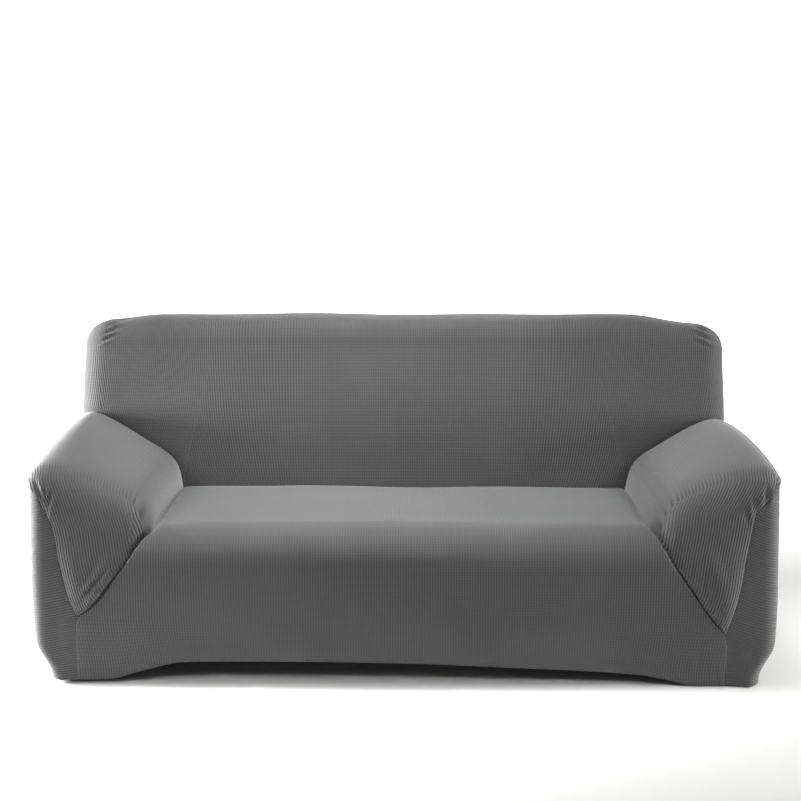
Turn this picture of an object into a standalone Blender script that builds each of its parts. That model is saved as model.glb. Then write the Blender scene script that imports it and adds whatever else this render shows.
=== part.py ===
"""A fitted stretch slipcover for a three-seat sofa, standing in the shape it takes when it is fitted.

Each cut panel is one thin closed sheet. The panels share their seam lines, and each one's edge
stops a little short of the seam. Metres, +Z up, front at -Y, origin at the bottom centre.

A panel's rows are numbered along the cloth: 0 to 1 in the tuck at the back of the seat, to 2 along
the seat's or the arm's top, to 3 round its front edge, to 4 down its front to the height of the
arm's lower tip, and to 5 down to the hem. Heights in the tables stand over the left front corner.
"""

import math
from collections import namedtuple

import bpy
import numpy as np

# Driving sizes of the whole cover
HALF_WIDTH = 1.000
FRONT_Y = -0.430
REAR_Y = 0.437
TOP_Z = 0.912

# The cloth and its seams: how far each seam is drawn in below the panels beside it
CLOTH = 0.0025
SEAM_INSET = 0.00022
MOST_MITRE = 1.6
LEAST_TURN = 0.4
TUCK = 0.030
SEAT_GROOVE = 0.020
BACK_GROOVE = 0.012
BACK_GROOVE_SET_BACK = 0.004
FRONT_GROOVE = 0.0035
LIP = 0.009

# The seat and its front
SEAT_Z = 0.424
SEAT_BACK_Y = 0.098
SEAT_FRONT_Y = -0.345
SEAT_ROUND = 0.085
SEAT_HALF = {-1: 0.672, 1: 0.660}
SEAT_DIP = 0.012
SEAT_DIP_RATE = 14
SEAT_CROWN = 0.006
TUCK_DEPTH = 0.024
FRONT_BULGE = 0.010
FRONT_BULGE_FULL_Z = 0.30
HEM_TUCK_IN = 0.010
HEM_TUCK_IN_Z = 0.20

# The back
BACK_Y = 0.110
BACK_LEAN = 0.190
BACK_ROUND = 0.070
BACK_HALF_LOW = {-1: 0.927, 1: 0.908}
BACK_HALF_TOP = {-1: 0.912, 1: 0.893}
BACK_RING_Z = TOP_Z - BACK_ROUND
BACK_PUFF = 0.012
CORNER_DROOP = {-1: 0.014, 1: 0.024}
CORNER_DROOP_FROM = {-1: 0.78, 1: 0.70}
REAR_DROP = 0.014
REAR_BULGE = 0.005

# The arms
ARM_ROUND = 0.050
ARM_LIP = 0.008
ARM_FRONT_PUFF = 0.012
ARM_TOP_BOW = 0.024
RIM_BOW = 0.0145
ARM_BACK_DROP = {-1: 0.004, 1: 0.024}
ARM_INNER_SHARE = 0.3
RIM_OVERHANG = 0.003
RIM_BACK_REACH = 0.014
RIM_BACK_RISE = 0.002
CORNER_ROUND = 0.045
CORNER_STEPS = 8
SIDE_STRIP_Z = 0.590
SIDE_MIDDLE_Y = 0.20
SIDE_MIDDLE_IN = 0.004
SIDE_REAR_IN = 0.010
SIDE_REAR_RUN = 0.040
SIDE_FLARE = 0.008
SIDE_FLARE_HEIGHT = 0.40

# Low down, each side is pulled in under the seat, fully where it stands this far out or further
SIDE_PULL_IN = {-1: 0.046, 1: 0.041}
SIDE_PULL_HEIGHT = 0.105
SIDE_PULL_FROM = 0.88
SIDE_PULL_FULL = 0.98

# An arm from its inner foot, across 0, to its outer rim, across 1, at its front and at its back
ArmSection = namedtuple("ArmSection", "across x_front z_front x_back z_back")
ARM_RIM = 0.68
ARM_SECTIONS = (
    ArmSection(0.00, 0.676, 0.424, 0.672, 0.418),
    ArmSection(0.06, 0.678, 0.452, 0.675, 0.446),
    ArmSection(0.12, 0.689, 0.488, 0.685, 0.480),
    ArmSection(0.20, 0.712, 0.517, 0.708, 0.510),
    ArmSection(0.32, 0.765, 0.543, 0.760, 0.545),
    ArmSection(0.44, 0.820, 0.563, 0.812, 0.580),
    ArmSection(0.56, 0.868, 0.583, 0.864, 0.612),
    ArmSection(ARM_RIM, 0.912, 0.596, 0.915, 0.637),
    ArmSection(0.76, 0.945, 0.598, 0.942, 0.640),
    ArmSection(0.84, 0.976, 0.594, 0.965, 0.633),
    ArmSection(0.92, 0.996, 0.581, 0.980, 0.614),
    ArmSection(1.00, 1.003, 0.560, 0.985, 0.588),
)

# The two seams down each arm's front, as half widths at a height
SeamPoint = namedtuple("SeamPoint", "z left right")
APRON_SEAM = (
    SeamPoint(0.424, 0.676, 0.676),
    SeamPoint(0.397, 0.704, 0.688),
    SeamPoint(0.349, 0.734, 0.714),
    SeamPoint(0.324, 0.751, 0.729),
    SeamPoint(0.268, 0.793, 0.769),
    SeamPoint(0.204, 0.846, 0.816),
    SeamPoint(0.180, 0.878, 0.833),
    SeamPoint(0.138, 0.886, 0.862),
    SeamPoint(0.090, 0.889, 0.873),
    SeamPoint(0.000, 0.888, 0.870),
)
SIDE_SEAM = (
    SeamPoint(0.560, 1.003, 1.003),
    SeamPoint(0.516, 0.974, 0.964),
    SeamPoint(0.467, 0.948, 0.926),
    SeamPoint(0.424, 0.932, 0.919),
    SeamPoint(0.350, 0.922, 0.907),
    SeamPoint(0.258, 0.904, 0.896),
    SeamPoint(0.195, 0.885, 0.880),
    SeamPoint(0.180, 0.878, 0.876),
    SeamPoint(0.138, 0.870, 0.862),
)
TIP_Z = {-1: 0.180, 1: 0.138}

# The front hem's height along the front
HemPoint = namedtuple("HemPoint", "x z")
FRONT_HEM = (
    HemPoint(-0.890, 0.000),
    HemPoint(-0.805, 0.002),
    HemPoint(-0.700, 0.030),
    HemPoint(-0.590, 0.054),
    HemPoint(-0.270, 0.056),
    HemPoint(0.050, 0.050),
    HemPoint(0.350, 0.039),
    HemPoint(0.640, 0.022),
    HemPoint(0.720, 0.006),
    HemPoint(0.790, -0.008),
    HemPoint(0.890, -0.010),
)
HEM_LOW = {-1: 0.0, 1: -0.010}
SIDE_HEM_ARCH = 0.018
REAR_HEM_ARCH = 0.030

# Folds pulled across the arm fronts, each along a line from one point to another
Fold = namedtuple("Fold", "side x1 z1 x2 z2 width height")
FRONT_FOLDS = (
    Fold(-1, 0.775, 0.334, 0.860, 0.215, 0.014, 0.0085),
    Fold(-1, 0.800, 0.350, 0.868, 0.240, 0.012, -0.0060),
    Fold(-1, 0.700, 0.425, 0.740, 0.370, 0.012, 0.0060),
    Fold(-1, 0.722, 0.428, 0.770, 0.380, 0.013, -0.0045),
    Fold(1, 0.724, 0.338, 0.850, 0.150, 0.011, 0.0070),
    Fold(1, 0.762, 0.360, 0.862, 0.190, 0.014, -0.0050),
    Fold(1, 0.800, 0.400, 0.872, 0.230, 0.018, 0.0040),
)

FOLDS_REACH = 0.06

# Small gathers, raised and sunk line by line where the cloth is drawn in round a corner
PLEAT_HEIGHT = 0.0035
PLEATS_BELOW = 4
GATHER_HEIGHT = 0.0030
GATHER_ROWS = 8

# Slow waves over the whole cover
Wave = namedtuple("Wave", "x y z phase height")
WAVES = (
    Wave(7.0, 5.0, 9.0, 0.4, 0.0016),
    Wave(-13.0, 8.0, 6.0, 1.9, 0.0012),
    Wave(4.0, -11.0, 17.0, 3.1, 0.0009),
)
LEVEL_HEM = 0.002
FULL_WAVES_ABOVE = 0.06

# Stations: how far along each stretch of the panels the rows and columns stand
TUCK_ROWS = (0.0, 1.0)
SEAT_ROWS = (1.07, 1.22, 1.45, 1.72, 2.0)
ROUND_ROWS = (2.25, 2.5, 2.75, 3.0)
FRONT_STEPS = 12
HEM_STEPS = 4
SEAT_STEPS = 16
ARM_COLUMNS = (0.0, 0.06, 0.12, 0.20, 0.32, 0.44, 0.56, ARM_RIM)
RIM_STEPS = 6
STRIP_STEPS = 3
SIDE_COLUMNS = (0.0, 0.04, 0.08, 0.11, 0.135, 0.16, 0.20, 0.28, 0.40, 0.52, 0.64, 0.76, 0.88, 1.0)
BACK_ROWS = (0.0, 0.06, 0.16, 0.30, 0.46, 0.62, 0.76, 0.87, 0.91, 0.94, 0.97, 1.0)
REAR_COLUMN_STEP = 4
REAR_ROW_STEP = 4

KNIT_GREY = (0.100, 0.100, 0.101, 1.0)
KNIT_ROUGHNESS = 0.92
SHARP_EDGE = math.radians(50)


def lerp(start, end, share):
    return start + (end - start) * share


def ease(share):
    share = min(max(share, 0.0), 1.0)
    return share * share * (3 - 2 * share)


def half_ease(share):
    return (share + ease(share)) / 2


def read_table(rows, key, value, at):
    """A table's value at any key, along a smooth curve through its rows."""
    rows = sorted(rows, key=lambda row: getattr(row, key))
    keys = [getattr(row, key) for row in rows]
    values = [getattr(row, value) for row in rows]
    slopes = [(b - a) / (d - c) for a, b, c, d in zip(values, values[1:], keys, keys[1:])]
    tangents = [slopes[0]]
    for before, after in zip(slopes, slopes[1:]):
        turns = before * after <= 0
        tangents.append(0.0 if turns else 2 * before * after / (before + after))
    tangents.append(slopes[-1])
    at = min(max(at, keys[0]), keys[-1])
    i = min(int(np.searchsorted(keys, at, side="right")) - 1, len(keys) - 2)
    width = keys[i + 1] - keys[i]
    t = (at - keys[i]) / width
    return (
        values[i] * (1 + 2 * t) * (1 - t) ** 2
        + tangents[i] * width * t * (1 - t) ** 2
        + values[i + 1] * t * t * (3 - 2 * t)
        + tangents[i + 1] * width * t * t * (t - 1)
    )


def seam_x(table, side, z):
    return read_table(table, "z", "left" if side < 0 else "right", z)


def hem_z(x):
    return read_table(FRONT_HEM, "x", "z", x)


def front_y(z):
    """The front plane, which leans in a little towards the hem."""
    return FRONT_Y + HEM_TUCK_IN * ease((HEM_TUCK_IN_Z - z) / HEM_TUCK_IN_Z)


def back_y(z):
    return BACK_Y + BACK_LEAN * (z - SEAT_Z)


# ---- seams that two panels share ----


def seat_section(row):
    """(y, z) down the middle of the seat, from the tuck to the end of the front's round edge."""
    if row <= 1:
        z = SEAT_Z - SEAT_DIP - TUCK_DEPTH * (1 - row)
        return lerp(SEAT_BACK_Y + LIP, SEAT_BACK_Y, row), z
    if row <= 2:
        z = SEAT_Z - SEAT_DIP * math.exp(-SEAT_DIP_RATE * (row - 1))
        return lerp(SEAT_BACK_Y, SEAT_FRONT_Y, row - 1), z
    turn = (min(row, 3) - 2) * math.pi / 2
    y = SEAT_FRONT_Y - SEAT_ROUND * math.sin(turn)
    return y, SEAT_Z - SEAT_ROUND * (1 - math.cos(turn))


FRONT_TOP_Z = SEAT_Z - SEAT_ROUND


def apron_seam(side, row):
    """Between the seat and front panel and an arm, then the side: from the tuck to the hem."""
    if row <= 3:
        y, z = seat_section(row)
        groove = SEAT_GROOVE if row <= 2 else lerp(SEAT_GROOVE, FRONT_GROOVE, ease(row - 2))
        turn = max(row - 2, 0) * math.pi / 2
        x = lerp(SEAT_HALF[side], seam_x(APRON_SEAM, side, z), ease((row - 2) * 2))
        if row < 1:
            groove *= row
        return np.array((side * x, y + groove * math.sin(turn), z - groove * math.cos(turn)))
    tip = TIP_Z[side]
    if row <= 4:
        z = lerp(FRONT_TOP_Z, tip, row - 3)
    else:
        z = lerp(tip, hem_z(side * seam_x(APRON_SEAM, side, 0)), row - 4)
    return np.array((side * seam_x(APRON_SEAM, side, z), front_y(z) + FRONT_GROOVE, z))


def arm_table(column, across):
    return read_table(ARM_SECTIONS, "across", column, across)


def arm_back_surface(side, across):
    """(x, y, z) where an arm's section meets the inside back, before either dips into the seam."""
    z = arm_table("z_back", across) - ARM_BACK_DROP[side] * ease(across)
    if across <= ARM_RIM:
        foot, rim = arm_table("x_back", 0.0), arm_table("x_back", ARM_RIM)
        share = (arm_table("x_back", across) - foot) / (rim - foot)
        return lerp(SEAT_HALF[side], BACK_HALF_LOW[side], share), back_y(z), z
    turn = (across - ARM_RIM) / (1 - ARM_RIM) * math.pi / 2
    x = BACK_HALF_LOW[side] + BACK_ROUND * math.sin(turn)
    return x, back_y(z) + BACK_ROUND * (1 - math.cos(turn)), z


def arm_back_point(side, across, lift, back):
    """A point off the line where an arm meets the inside back, lifted off the arm's surface."""
    x, y, z = arm_back_surface(side, across)
    step = 0.01
    x_on, _, z_on = arm_back_surface(side, min(across + step, 1.0))
    x_off, _, z_off = arm_back_surface(side, max(across - step, 0.0))
    run, rise = x_on - x_off, z_on - z_off
    lift *= lerp(1, 0.5, ease((across - ARM_RIM) / (1 - ARM_RIM))) / math.hypot(run, rise)
    return np.array((side * (x - rise * lift), y + back, z + run * lift))


def arm_back_seam(side, across):
    """Between an arm and the inside back, sunk a little under the arm's surface."""
    if across == 0:
        return apron_seam(side, 0.0)
    return arm_back_point(side, across, -BACK_GROOVE, BACK_GROOVE_SET_BACK)


def arm_back_lip(side, across):
    """Where the inside back comes up out of that seam."""
    lip = arm_back_point(side, across, BACK_GROOVE, 0.0)
    lip[2] = max(lip[2], arm_back_seam(side, across)[2] + BACK_GROOVE)
    return lip


def rim_seam(side, row):
    """Between an arm and its side panel: along the outer top edge and down the front to the tip."""
    if row <= 1:
        start = arm_back_seam(side, 1.0)
        end = start + np.array((0, -RIM_BACK_REACH, RIM_BACK_RISE))
        end[0] = side * (HALF_WIDTH + RIM_OVERHANG)
        return lerp(start, end, row)
    rim_front_y = FRONT_Y + ARM_ROUND
    if row <= 2:
        start = rim_seam(side, 1.0)
        bow = RIM_BOW * math.sin((row - 1) * math.pi)
        end = np.array((side * arm_table("x_front", 1.0), rim_front_y, arm_table("z_front", 1.0)))
        return lerp(start, end, row - 1) + np.array((0, 0, bow))
    if row <= 3:
        turn = (row - 2) * math.pi / 2
        z = arm_table("z_front", 1.0) - ARM_ROUND * (1 - math.cos(turn))
        y = rim_front_y - (ARM_ROUND - FRONT_GROOVE) * math.sin(turn)
        return np.array((side * seam_x(SIDE_SEAM, side, z), y, z))
    z = lerp(arm_table("z_front", 1.0) - ARM_ROUND, TIP_Z[side], row - 3)
    x = seam_x(SIDE_SEAM, side, z)
    if row >= 4:
        return apron_seam(side, 4.0)
    return np.array((side * x, front_y(z) + FRONT_GROOVE, z))


def strip_seam(side, share):
    """Between a side panel and the inside back's side strip, from the arm to the rear."""
    start = arm_back_seam(side, 1.0)
    half = BACK_HALF_LOW[side] + BACK_ROUND
    end = np.array((side * (half - REAR_DROP), REAR_Y, SIDE_STRIP_Z))
    point = lerp(start, end, share)
    point[0] = side * (half - REAR_DROP * ease((share - 0.8) / 0.2))
    return point


# ---- panels as grids of points ----


def seat_point(row, u):
    """A point of the seat and front panel: u runs from -1 at the left seam to 1 at the right."""
    left = apron_seam(-1, row)
    right = apron_seam(1, row)
    if u in (-1, 1):
        return left if u < 0 else right
    share = (u + 1) / 2
    x = lerp(left[0], right[0], share)
    middle = 1 - u * u
    if row <= 3:
        y, z = seat_section(row)
        turn = max(row - 2, 0) * math.pi / 2
        swell = lerp(SEAT_CROWN, FRONT_BULGE, max(row - 2, 0)) * middle * min(max(row - 0.5, 0), 1)
        return np.array((x, y - swell * math.sin(turn), z + swell * math.cos(turn)))
    tip = lerp(TIP_Z[-1], TIP_Z[1], share)
    z = lerp(FRONT_TOP_Z, tip, row - 3) if row <= 4 else lerp(tip, hem_z(x), row - 4)
    bulge = FRONT_BULGE * middle * ease(z / FRONT_BULGE_FULL_Z)
    return np.array((x, front_y(z) - bulge, z))


def arm_point(side, row, across):
    """A point of an arm panel, from the back along its top and down its front to the tip."""
    if across == 0:
        return apron_seam(side, row)
    if across == 1:
        return rim_seam(side, row)
    if row == 0:
        return arm_back_seam(side, across)
    x_back, y_back, z_back = arm_back_surface(side, across)
    round_back = max(across - ARM_RIM, 0) / (1 - ARM_RIM) * math.pi / 2
    lip_x = x_back + ARM_LIP * math.sin(round_back)
    start = np.array((side * lip_x, y_back - ARM_LIP * math.cos(round_back), z_back))
    if row < 1:
        return lerp(arm_back_seam(side, across), start, row)
    inner = 1 - ease(across / ARM_INNER_SHARE)
    radius = lerp(ARM_ROUND, SEAT_ROUND, inner)
    x_front = arm_table("x_front", across)
    z_front = arm_table("z_front", across)
    if row <= 2:
        end = np.array((side * x_front, FRONT_Y + radius, z_front))
        bow = ARM_TOP_BOW * math.sin((row - 1) * math.pi) * ease(across / 0.5)
        return lerp(start, end, row - 1) + np.array((0, 0, bow))
    turn = (min(row, 3) - 2) * math.pi / 2
    rim_x = arm_table("x_front", 1.0)
    inset = rim_x - seam_x(SIDE_SEAM, side, arm_table("z_front", 1.0) - ARM_ROUND)
    inset *= ease((across - 0.5) / 0.5)
    x_face = lerp(x_front, seam_x(APRON_SEAM, side, FRONT_TOP_Z), inner) - inset
    x = lerp(x_front, x_face, ease(row - 2))
    y = FRONT_Y + radius * (1 - math.sin(turn))
    top = np.array((side * x, y, z_front - radius * (1 - math.cos(turn))))
    if row <= 3:
        return top
    left, right = apron_seam(side, 3.0), rim_seam(side, 3.0)
    share = (top[0] - left[0]) / (right[0] - left[0])
    rise = top[2] - lerp(left[2], right[2], share)
    down = row - 3
    inner_edge, outer_edge = apron_seam(side, row), rim_seam(side, row)
    point = lerp(inner_edge, outer_edge, share)
    point[2] += rise * (1 - down)
    puff = ARM_FRONT_PUFF * math.sin(math.pi * share) * ease((1 - down) * 2.5)
    point[1] = front_y(point[2]) - puff
    return point


def side_path(side, z, edge):
    """The level line that a side panel follows at a height, from its front seam to the rear."""
    corner_x = HALF_WIDTH - CORNER_ROUND
    corner_y = FRONT_Y + CORNER_ROUND
    reach = (abs(edge[0]) - corner_x) / CORNER_ROUND
    turn_from = math.asin(min(max(reach, 0), 1))
    line = [edge]
    for i in range(1, CORNER_STEPS + 1):
        turn = lerp(turn_from, math.pi / 2, i / CORNER_STEPS)
        x = corner_x + CORNER_ROUND * math.sin(turn)
        line.append(np.array((side * x, corner_y - CORNER_ROUND * math.cos(turn), z)))
    line.append(np.array((side * (HALF_WIDTH - SIDE_MIDDLE_IN), SIDE_MIDDLE_Y, z)))
    line.append(np.array((side * (HALF_WIDTH - SIDE_REAR_IN), REAR_Y - SIDE_REAR_RUN, z)))
    line.append(np.array((side * (BACK_HALF_LOW[side] + BACK_ROUND - REAR_DROP), REAR_Y, z)))
    pull = SIDE_PULL_IN[side] * ease((SIDE_PULL_HEIGHT - z) / SIDE_PULL_HEIGHT)
    pull -= SIDE_FLARE * ease((arm_table("z_front", 1.0) - z) / SIDE_FLARE_HEIGHT)
    for point in line[1:]:
        out = (abs(point[0]) - SIDE_PULL_FROM) / (SIDE_PULL_FULL - SIDE_PULL_FROM)
        point[0] -= side * pull * ease(out)
    return line


def along(line, share):
    """The point at a share of a polyline's length."""
    steps = [float(np.linalg.norm(b - a)) for a, b in zip(line, line[1:])]
    target = share * sum(steps)
    for (a, b), step in zip(zip(line, line[1:]), steps):
        if target <= step or b is line[-1]:
            return lerp(a, b, min(target / step, 1.0))
        target -= step


def side_point(side, row, top, share, foot_share):
    """A point of a side panel under a point of its top edge, at a share of the level line."""
    seam = apron_seam(side, row) if row > 4 else rim_seam(side, row)
    if share == 0:
        return seam
    hem = lerp(HEM_LOW[side], 0, share) + SIDE_HEM_ARCH * math.sin(math.pi * share)
    down = min(row - 3, 1)
    share = lerp(share, foot_share, ease(down * 2.2))
    z = lerp(top[2], TIP_Z[side], down)
    if row > 4:
        z = lerp(TIP_Z[side], hem, row - 4)
    point = along(side_path(side, z, seam), share)
    point[2] = z
    return point


def ring(step):
    """(outward, backward) from the inside back's face edge: round the edge, then over the strip."""
    if step <= RIM_STEPS:
        turn = step / RIM_STEPS * math.pi / 2
        return BACK_ROUND * math.sin(turn), BACK_ROUND * (1 - math.cos(turn))
    share = (step - RIM_STEPS) / STRIP_STEPS
    return BACK_ROUND - REAR_DROP * ease((share - 0.6) / 0.4), BACK_ROUND


def ring_point(x, z, direction, step, side=1):
    """A point beyond the face edge point (x, z), outward in a direction of the X-Z plane."""
    out, back = ring(step)
    start = back_y(z)
    y = start + back
    if step > RIM_STEPS:
        y = lerp(y, REAR_Y, (step - RIM_STEPS) / STRIP_STEPS)
    return np.array((side * (x + out * math.cos(direction)), y, z + out * math.sin(direction)))


def droop(x):
    side = -1 if x < 0 else 1
    start = CORNER_DROOP_FROM[side]
    return CORNER_DROOP[side] * ease((abs(x) - start) / (BACK_HALF_TOP[side] - start))


def back_face_point(share, foot, lip, x_top):
    """A point of the inside back's face, above a foot on its lower seam and a lip over that."""
    if share == 0:
        return foot
    up = (share - BACK_ROWS[1]) / (1 - BACK_ROWS[1])
    z = lerp(lip[2], BACK_RING_Z - droop(x_top), up)
    x = lerp(lip[0], x_top, half_ease(up))
    puff = BACK_PUFF * math.sin(math.pi * min(up, 1)) * (1 - (x / BACK_HALF_LOW[-1]) ** 2)
    return np.array((x, back_y(z) - puff, z))


def back_side_point(side, step, share, foot, lip):
    """A point of the inside back's rounded side and strip, above a foot on its lower seam."""
    if share == 0:
        return foot
    up = (share - BACK_ROWS[1]) / (1 - BACK_ROWS[1])
    z = lerp(lip[2], BACK_RING_Z - droop(side * BACK_HALF_TOP[side]), up)
    x = lerp(BACK_HALF_LOW[side], BACK_HALF_TOP[side], half_ease(up))
    return ring_point(x, z, 0.0, step, side)


def back_corner_point(side, step_out, step_up):
    """A point of a top corner, where the rings turn from the side over to the top."""
    step = max(step_out, step_up)
    corner_x = side * BACK_HALF_TOP[side]
    z = BACK_RING_Z - droop(corner_x)
    if step == 0:
        return np.array((corner_x, back_y(z), z))
    direction = math.pi / 4 * (step_up / step if step_out >= step_up else 2 - step_out / step)
    return ring_point(BACK_HALF_TOP[side], z, direction, step, side)


def back_top_point(x, step):
    z = BACK_RING_Z - droop(x)
    return ring_point(x, z, math.pi / 2, step)


# ---- grids ----

ROWS_TO_TIP = (
    TUCK_ROWS
    + SEAT_ROWS
    + ROUND_ROWS
    + tuple(3 + (i + 1) / FRONT_STEPS for i in range(FRONT_STEPS))
)
ROWS_TO_HEM = ROWS_TO_TIP + tuple(4 + (i + 1) / HEM_STEPS for i in range(HEM_STEPS))
EDGE_U = 1 - LIP / SEAT_HALF[1]
SEAT_US = (-1.0,) + tuple(EDGE_U * (2 * i / SEAT_STEPS - 1) for i in range(SEAT_STEPS + 1)) + (1.0,)
ARM_ACROSS = ARM_COLUMNS + tuple(
    ARM_RIM + (1 - ARM_RIM) * (i + 1) / RIM_STEPS for i in range(RIM_STEPS)
)
RING_STEPS = RIM_STEPS + STRIP_STEPS


def seat_grid():
    return [[seat_point(row, u) for u in SEAT_US] for row in ROWS_TO_HEM]


def arm_grid(side):
    return [[arm_point(side, row, across) for across in ARM_ACROSS] for row in ROWS_TO_TIP]


def side_grid(side):
    top_rows = [row for row in reversed(ROWS_TO_TIP) if row <= 3]
    top = [rim_seam(side, row) for row in top_rows]
    top += [strip_seam(side, (i + 1) / STRIP_STEPS) for i in range(STRIP_STEPS)]
    lengths = [0.0]
    for a, b in zip(top, top[1:]):
        lengths.append(lengths[-1] + float(np.linalg.norm(b - a)))
    shares = [length / lengths[-1] for length in lengths]
    grid = [top]
    for row in ROWS_TO_HEM:
        if row > 3:
            level = zip(top, shares, SIDE_COLUMNS)
            grid.append([side_point(side, row, *column) for column in level])
    return grid


def mirrored(build):
    """What a function builds for the left side, outwards to inwards, and for the right side."""
    return list(reversed(build(-1))), build(1)


def back_grid():
    """Columns from the left rear seam, over the face, to the right one; rows upwards."""
    arm_left, arm_right = mirrored(lambda side: [arm_back_seam(side, a) for a in ARM_ACROSS])
    lips_left, lips_right = mirrored(lambda side: [arm_back_lip(side, a) for a in ARM_ACROSS])
    strip_left, strip_right = mirrored(
        lambda side: [strip_seam(side, (i + 1) / STRIP_STEPS) for i in range(STRIP_STEPS)]
    )
    strip_lift = np.array((0, 0, BACK_GROOVE))
    seat = [seat_point(0.0, u) for u in SEAT_US[1:-1]]
    seat_lips = [point + np.array((0, 0, TUCK)) for point in seat]
    feet = strip_left + arm_left + seat + arm_right + strip_right
    lips = [p + strip_lift for p in strip_left] + lips_left + seat_lips
    lips += lips_right + [p + strip_lift for p in strip_right]
    face = range(RING_STEPS, len(feet) - RING_STEPS)
    tops = np.linspace(-BACK_HALF_TOP[-1], BACK_HALF_TOP[1], len(face))
    left_steps = list(range(RING_STEPS, 0, -1))
    right_steps = left_steps[::-1]
    right_from = len(feet) - RING_STEPS
    grid = []
    for share in BACK_ROWS:
        row = [back_side_point(-1, n, share, feet[k], lips[k]) for k, n in enumerate(left_steps)]
        row += [back_face_point(share, feet[k], lips[k], x) for k, x in zip(face, tops)]
        for k, n in enumerate(right_steps, right_from):
            row.append(back_side_point(1, n, share, feet[k], lips[k]))
        grid.append(row)
    for up in range(1, RING_STEPS + 1):
        row = [back_corner_point(-1, n, up) for n in left_steps]
        row += [back_top_point(x, up) for x in tops]
        row += [back_corner_point(1, n, up) for n in right_steps]
        grid.append(row)
    return grid


def grid_faces(rows, columns, flip):
    faces = []
    for i in range(rows - 1):
        for j in range(columns - 1):
            a = i * columns + j
            face = (a, a + 1, a + columns + 1, a + columns)
            faces.append(face[::-1] if flip else face)
    return faces


def rear_panel(sides, back):
    """The rear panel's points and faces: coarse cells that take in every point of its seams."""
    left = [row[-1] for row in reversed(sides[-1])] + [row[0] for row in back[1:]]
    right = [row[-1] for row in reversed(sides[1])] + [row[-1] for row in back[1:]]
    top = back[-1]
    bottom = []
    for i in range(len(top)):
        share = i / (len(top) - 1)
        arch = REAR_HEM_ARCH * min(1.0, 6 * share * (1 - share))
        point = lerp(left[0], right[0], share)
        bottom.append(point + np.array((0, 0, arch * (0 < i < len(top) - 1))))
    points, index = [], {}

    def add(key, point):
        if key not in index:
            index[key] = len(points)
            points.append(point)
        return index[key]

    last_i, last_j = len(left) - 1, len(top) - 1

    def at(i, j):
        if j == 0:
            return add((i, j), left[i])
        if j == last_j:
            return add((i, j), right[i])
        if i == 0:
            return add((i, j), bottom[j])
        if i == last_i:
            return add((i, j), top[j])
        s, t = j / last_j, i / last_i
        flat = lerp(left[i], right[i], s) + lerp(bottom[j], top[j], t)
        corners = lerp(lerp(left[0], right[0], s), lerp(left[-1], right[-1], s), t)
        point = flat - corners
        point[1] = REAR_Y + REAR_BULGE
        return add((i, j), point)

    faces = []
    for i in range(last_i):
        for j in range(last_j):
            if i in (0, last_i - 1) or j in (0, last_j - 1):
                faces.append((at(i, j), at(i + 1, j), at(i + 1, j + 1), at(i, j + 1)))
    columns = sorted({*range(1, last_j - 1, REAR_COLUMN_STEP), last_j - 1})
    rows = sorted({*range(1, last_i - 1, REAR_ROW_STEP), last_i - 1})
    for i, i_next in zip(rows, rows[1:]):
        for j, j_next in zip(columns, columns[1:]):
            loop = [(i, k) for k in range(j, j_next + 1) if i == 1 or k in (j, j_next)]
            loop += [(k, j_next) for k in range(i + 1, i_next) if j_next == columns[-1]]
            top_row = range(j_next, j - 1, -1)
            loop += [(i_next, k) for k in top_row if i_next == rows[-1] or k in (j, j_next)]
            loop += [(k, j) for k in range(i_next - 1, i, -1) if j == 1]
            faces.append(tuple(at(*cell) for cell in reversed(loop)))
    return points, faces


# ---- folds and small gathers ----


def fold_height(point):
    """How far the folds and waves lift the cloth at a point of the cover."""
    x, y, z = point
    height = sum(w.height * math.sin(w.x * x + w.y * y + w.z * z + w.phase) for w in WAVES)
    if y > FRONT_Y + FOLDS_REACH:
        return height
    for fold in FRONT_FOLDS:
        start = np.array((fold.side * fold.x1, fold.z1))
        run = np.array((fold.side * fold.x2, fold.z2)) - start
        share = float(np.dot(np.array((x, z)) - start, run) / np.dot(run, run))
        near = start + run * min(max(share, 0), 1)
        away = math.hypot(x - near[0], z - near[1]) / fold.width
        height += fold.height * math.exp(-away * away)
    return height


def gather_height(name, i, j):
    """Ridges and valleys, line by line, on the back's top corners and the arms' front corners."""
    if name == "inside_back":
        last = len(SEAT_US) - 2 + 2 * len(ARM_ACROSS) + 2 * STRIP_STEPS - 1
        out = RING_STEPS - min(j, last - j)
        up = i - (len(BACK_ROWS) - 1)
        if -PLEATS_BELOW <= up < RIM_STEPS and 1 <= out <= RIM_STEPS + 1 and out > up:
            fade = math.sin(math.pi * (out - 0.5) / (RIM_STEPS + 1)) * (1 - abs(up - 1) / RIM_STEPS)
            return PLEAT_HEIGHT * fade * (1 if up % 2 else -1)
    if name.startswith("arm"):
        over = j - (len(ARM_ACROSS) - 1 - RIM_STEPS)
        front = i - (len(TUCK_ROWS) + len(SEAT_ROWS))
        if 0 <= over < RIM_STEPS and 0 <= front <= GATHER_ROWS:
            fade = math.sin(math.pi * (front + 1) / (GATHER_ROWS + 2))
            fade *= math.sin(math.pi * (over + 1) / (RIM_STEPS + 1))
            return GATHER_HEIGHT * fade * (1 if over % 2 else -1)
    return 0.0


# ---- sheets with thickness ----


def corner_turns(points, face):
    """Each corner of a face with the face's unit normal, times the angle that the corner spans."""
    loop = points[list(face)]
    after = np.roll(loop, -1, axis=0) - loop
    before = np.roll(loop, 1, axis=0) - loop
    normal = np.cross(loop, np.roll(loop, -1, axis=0)).sum(axis=0)
    normal /= np.linalg.norm(normal)
    cosines = (after * before).sum(axis=1)
    cosines /= np.linalg.norm(after, axis=1) * np.linalg.norm(before, axis=1)
    angles = np.arccos(np.clip(cosines, -1, 1))
    return [(corner, normal * angle) for corner, angle in zip(face, angles)]


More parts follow.
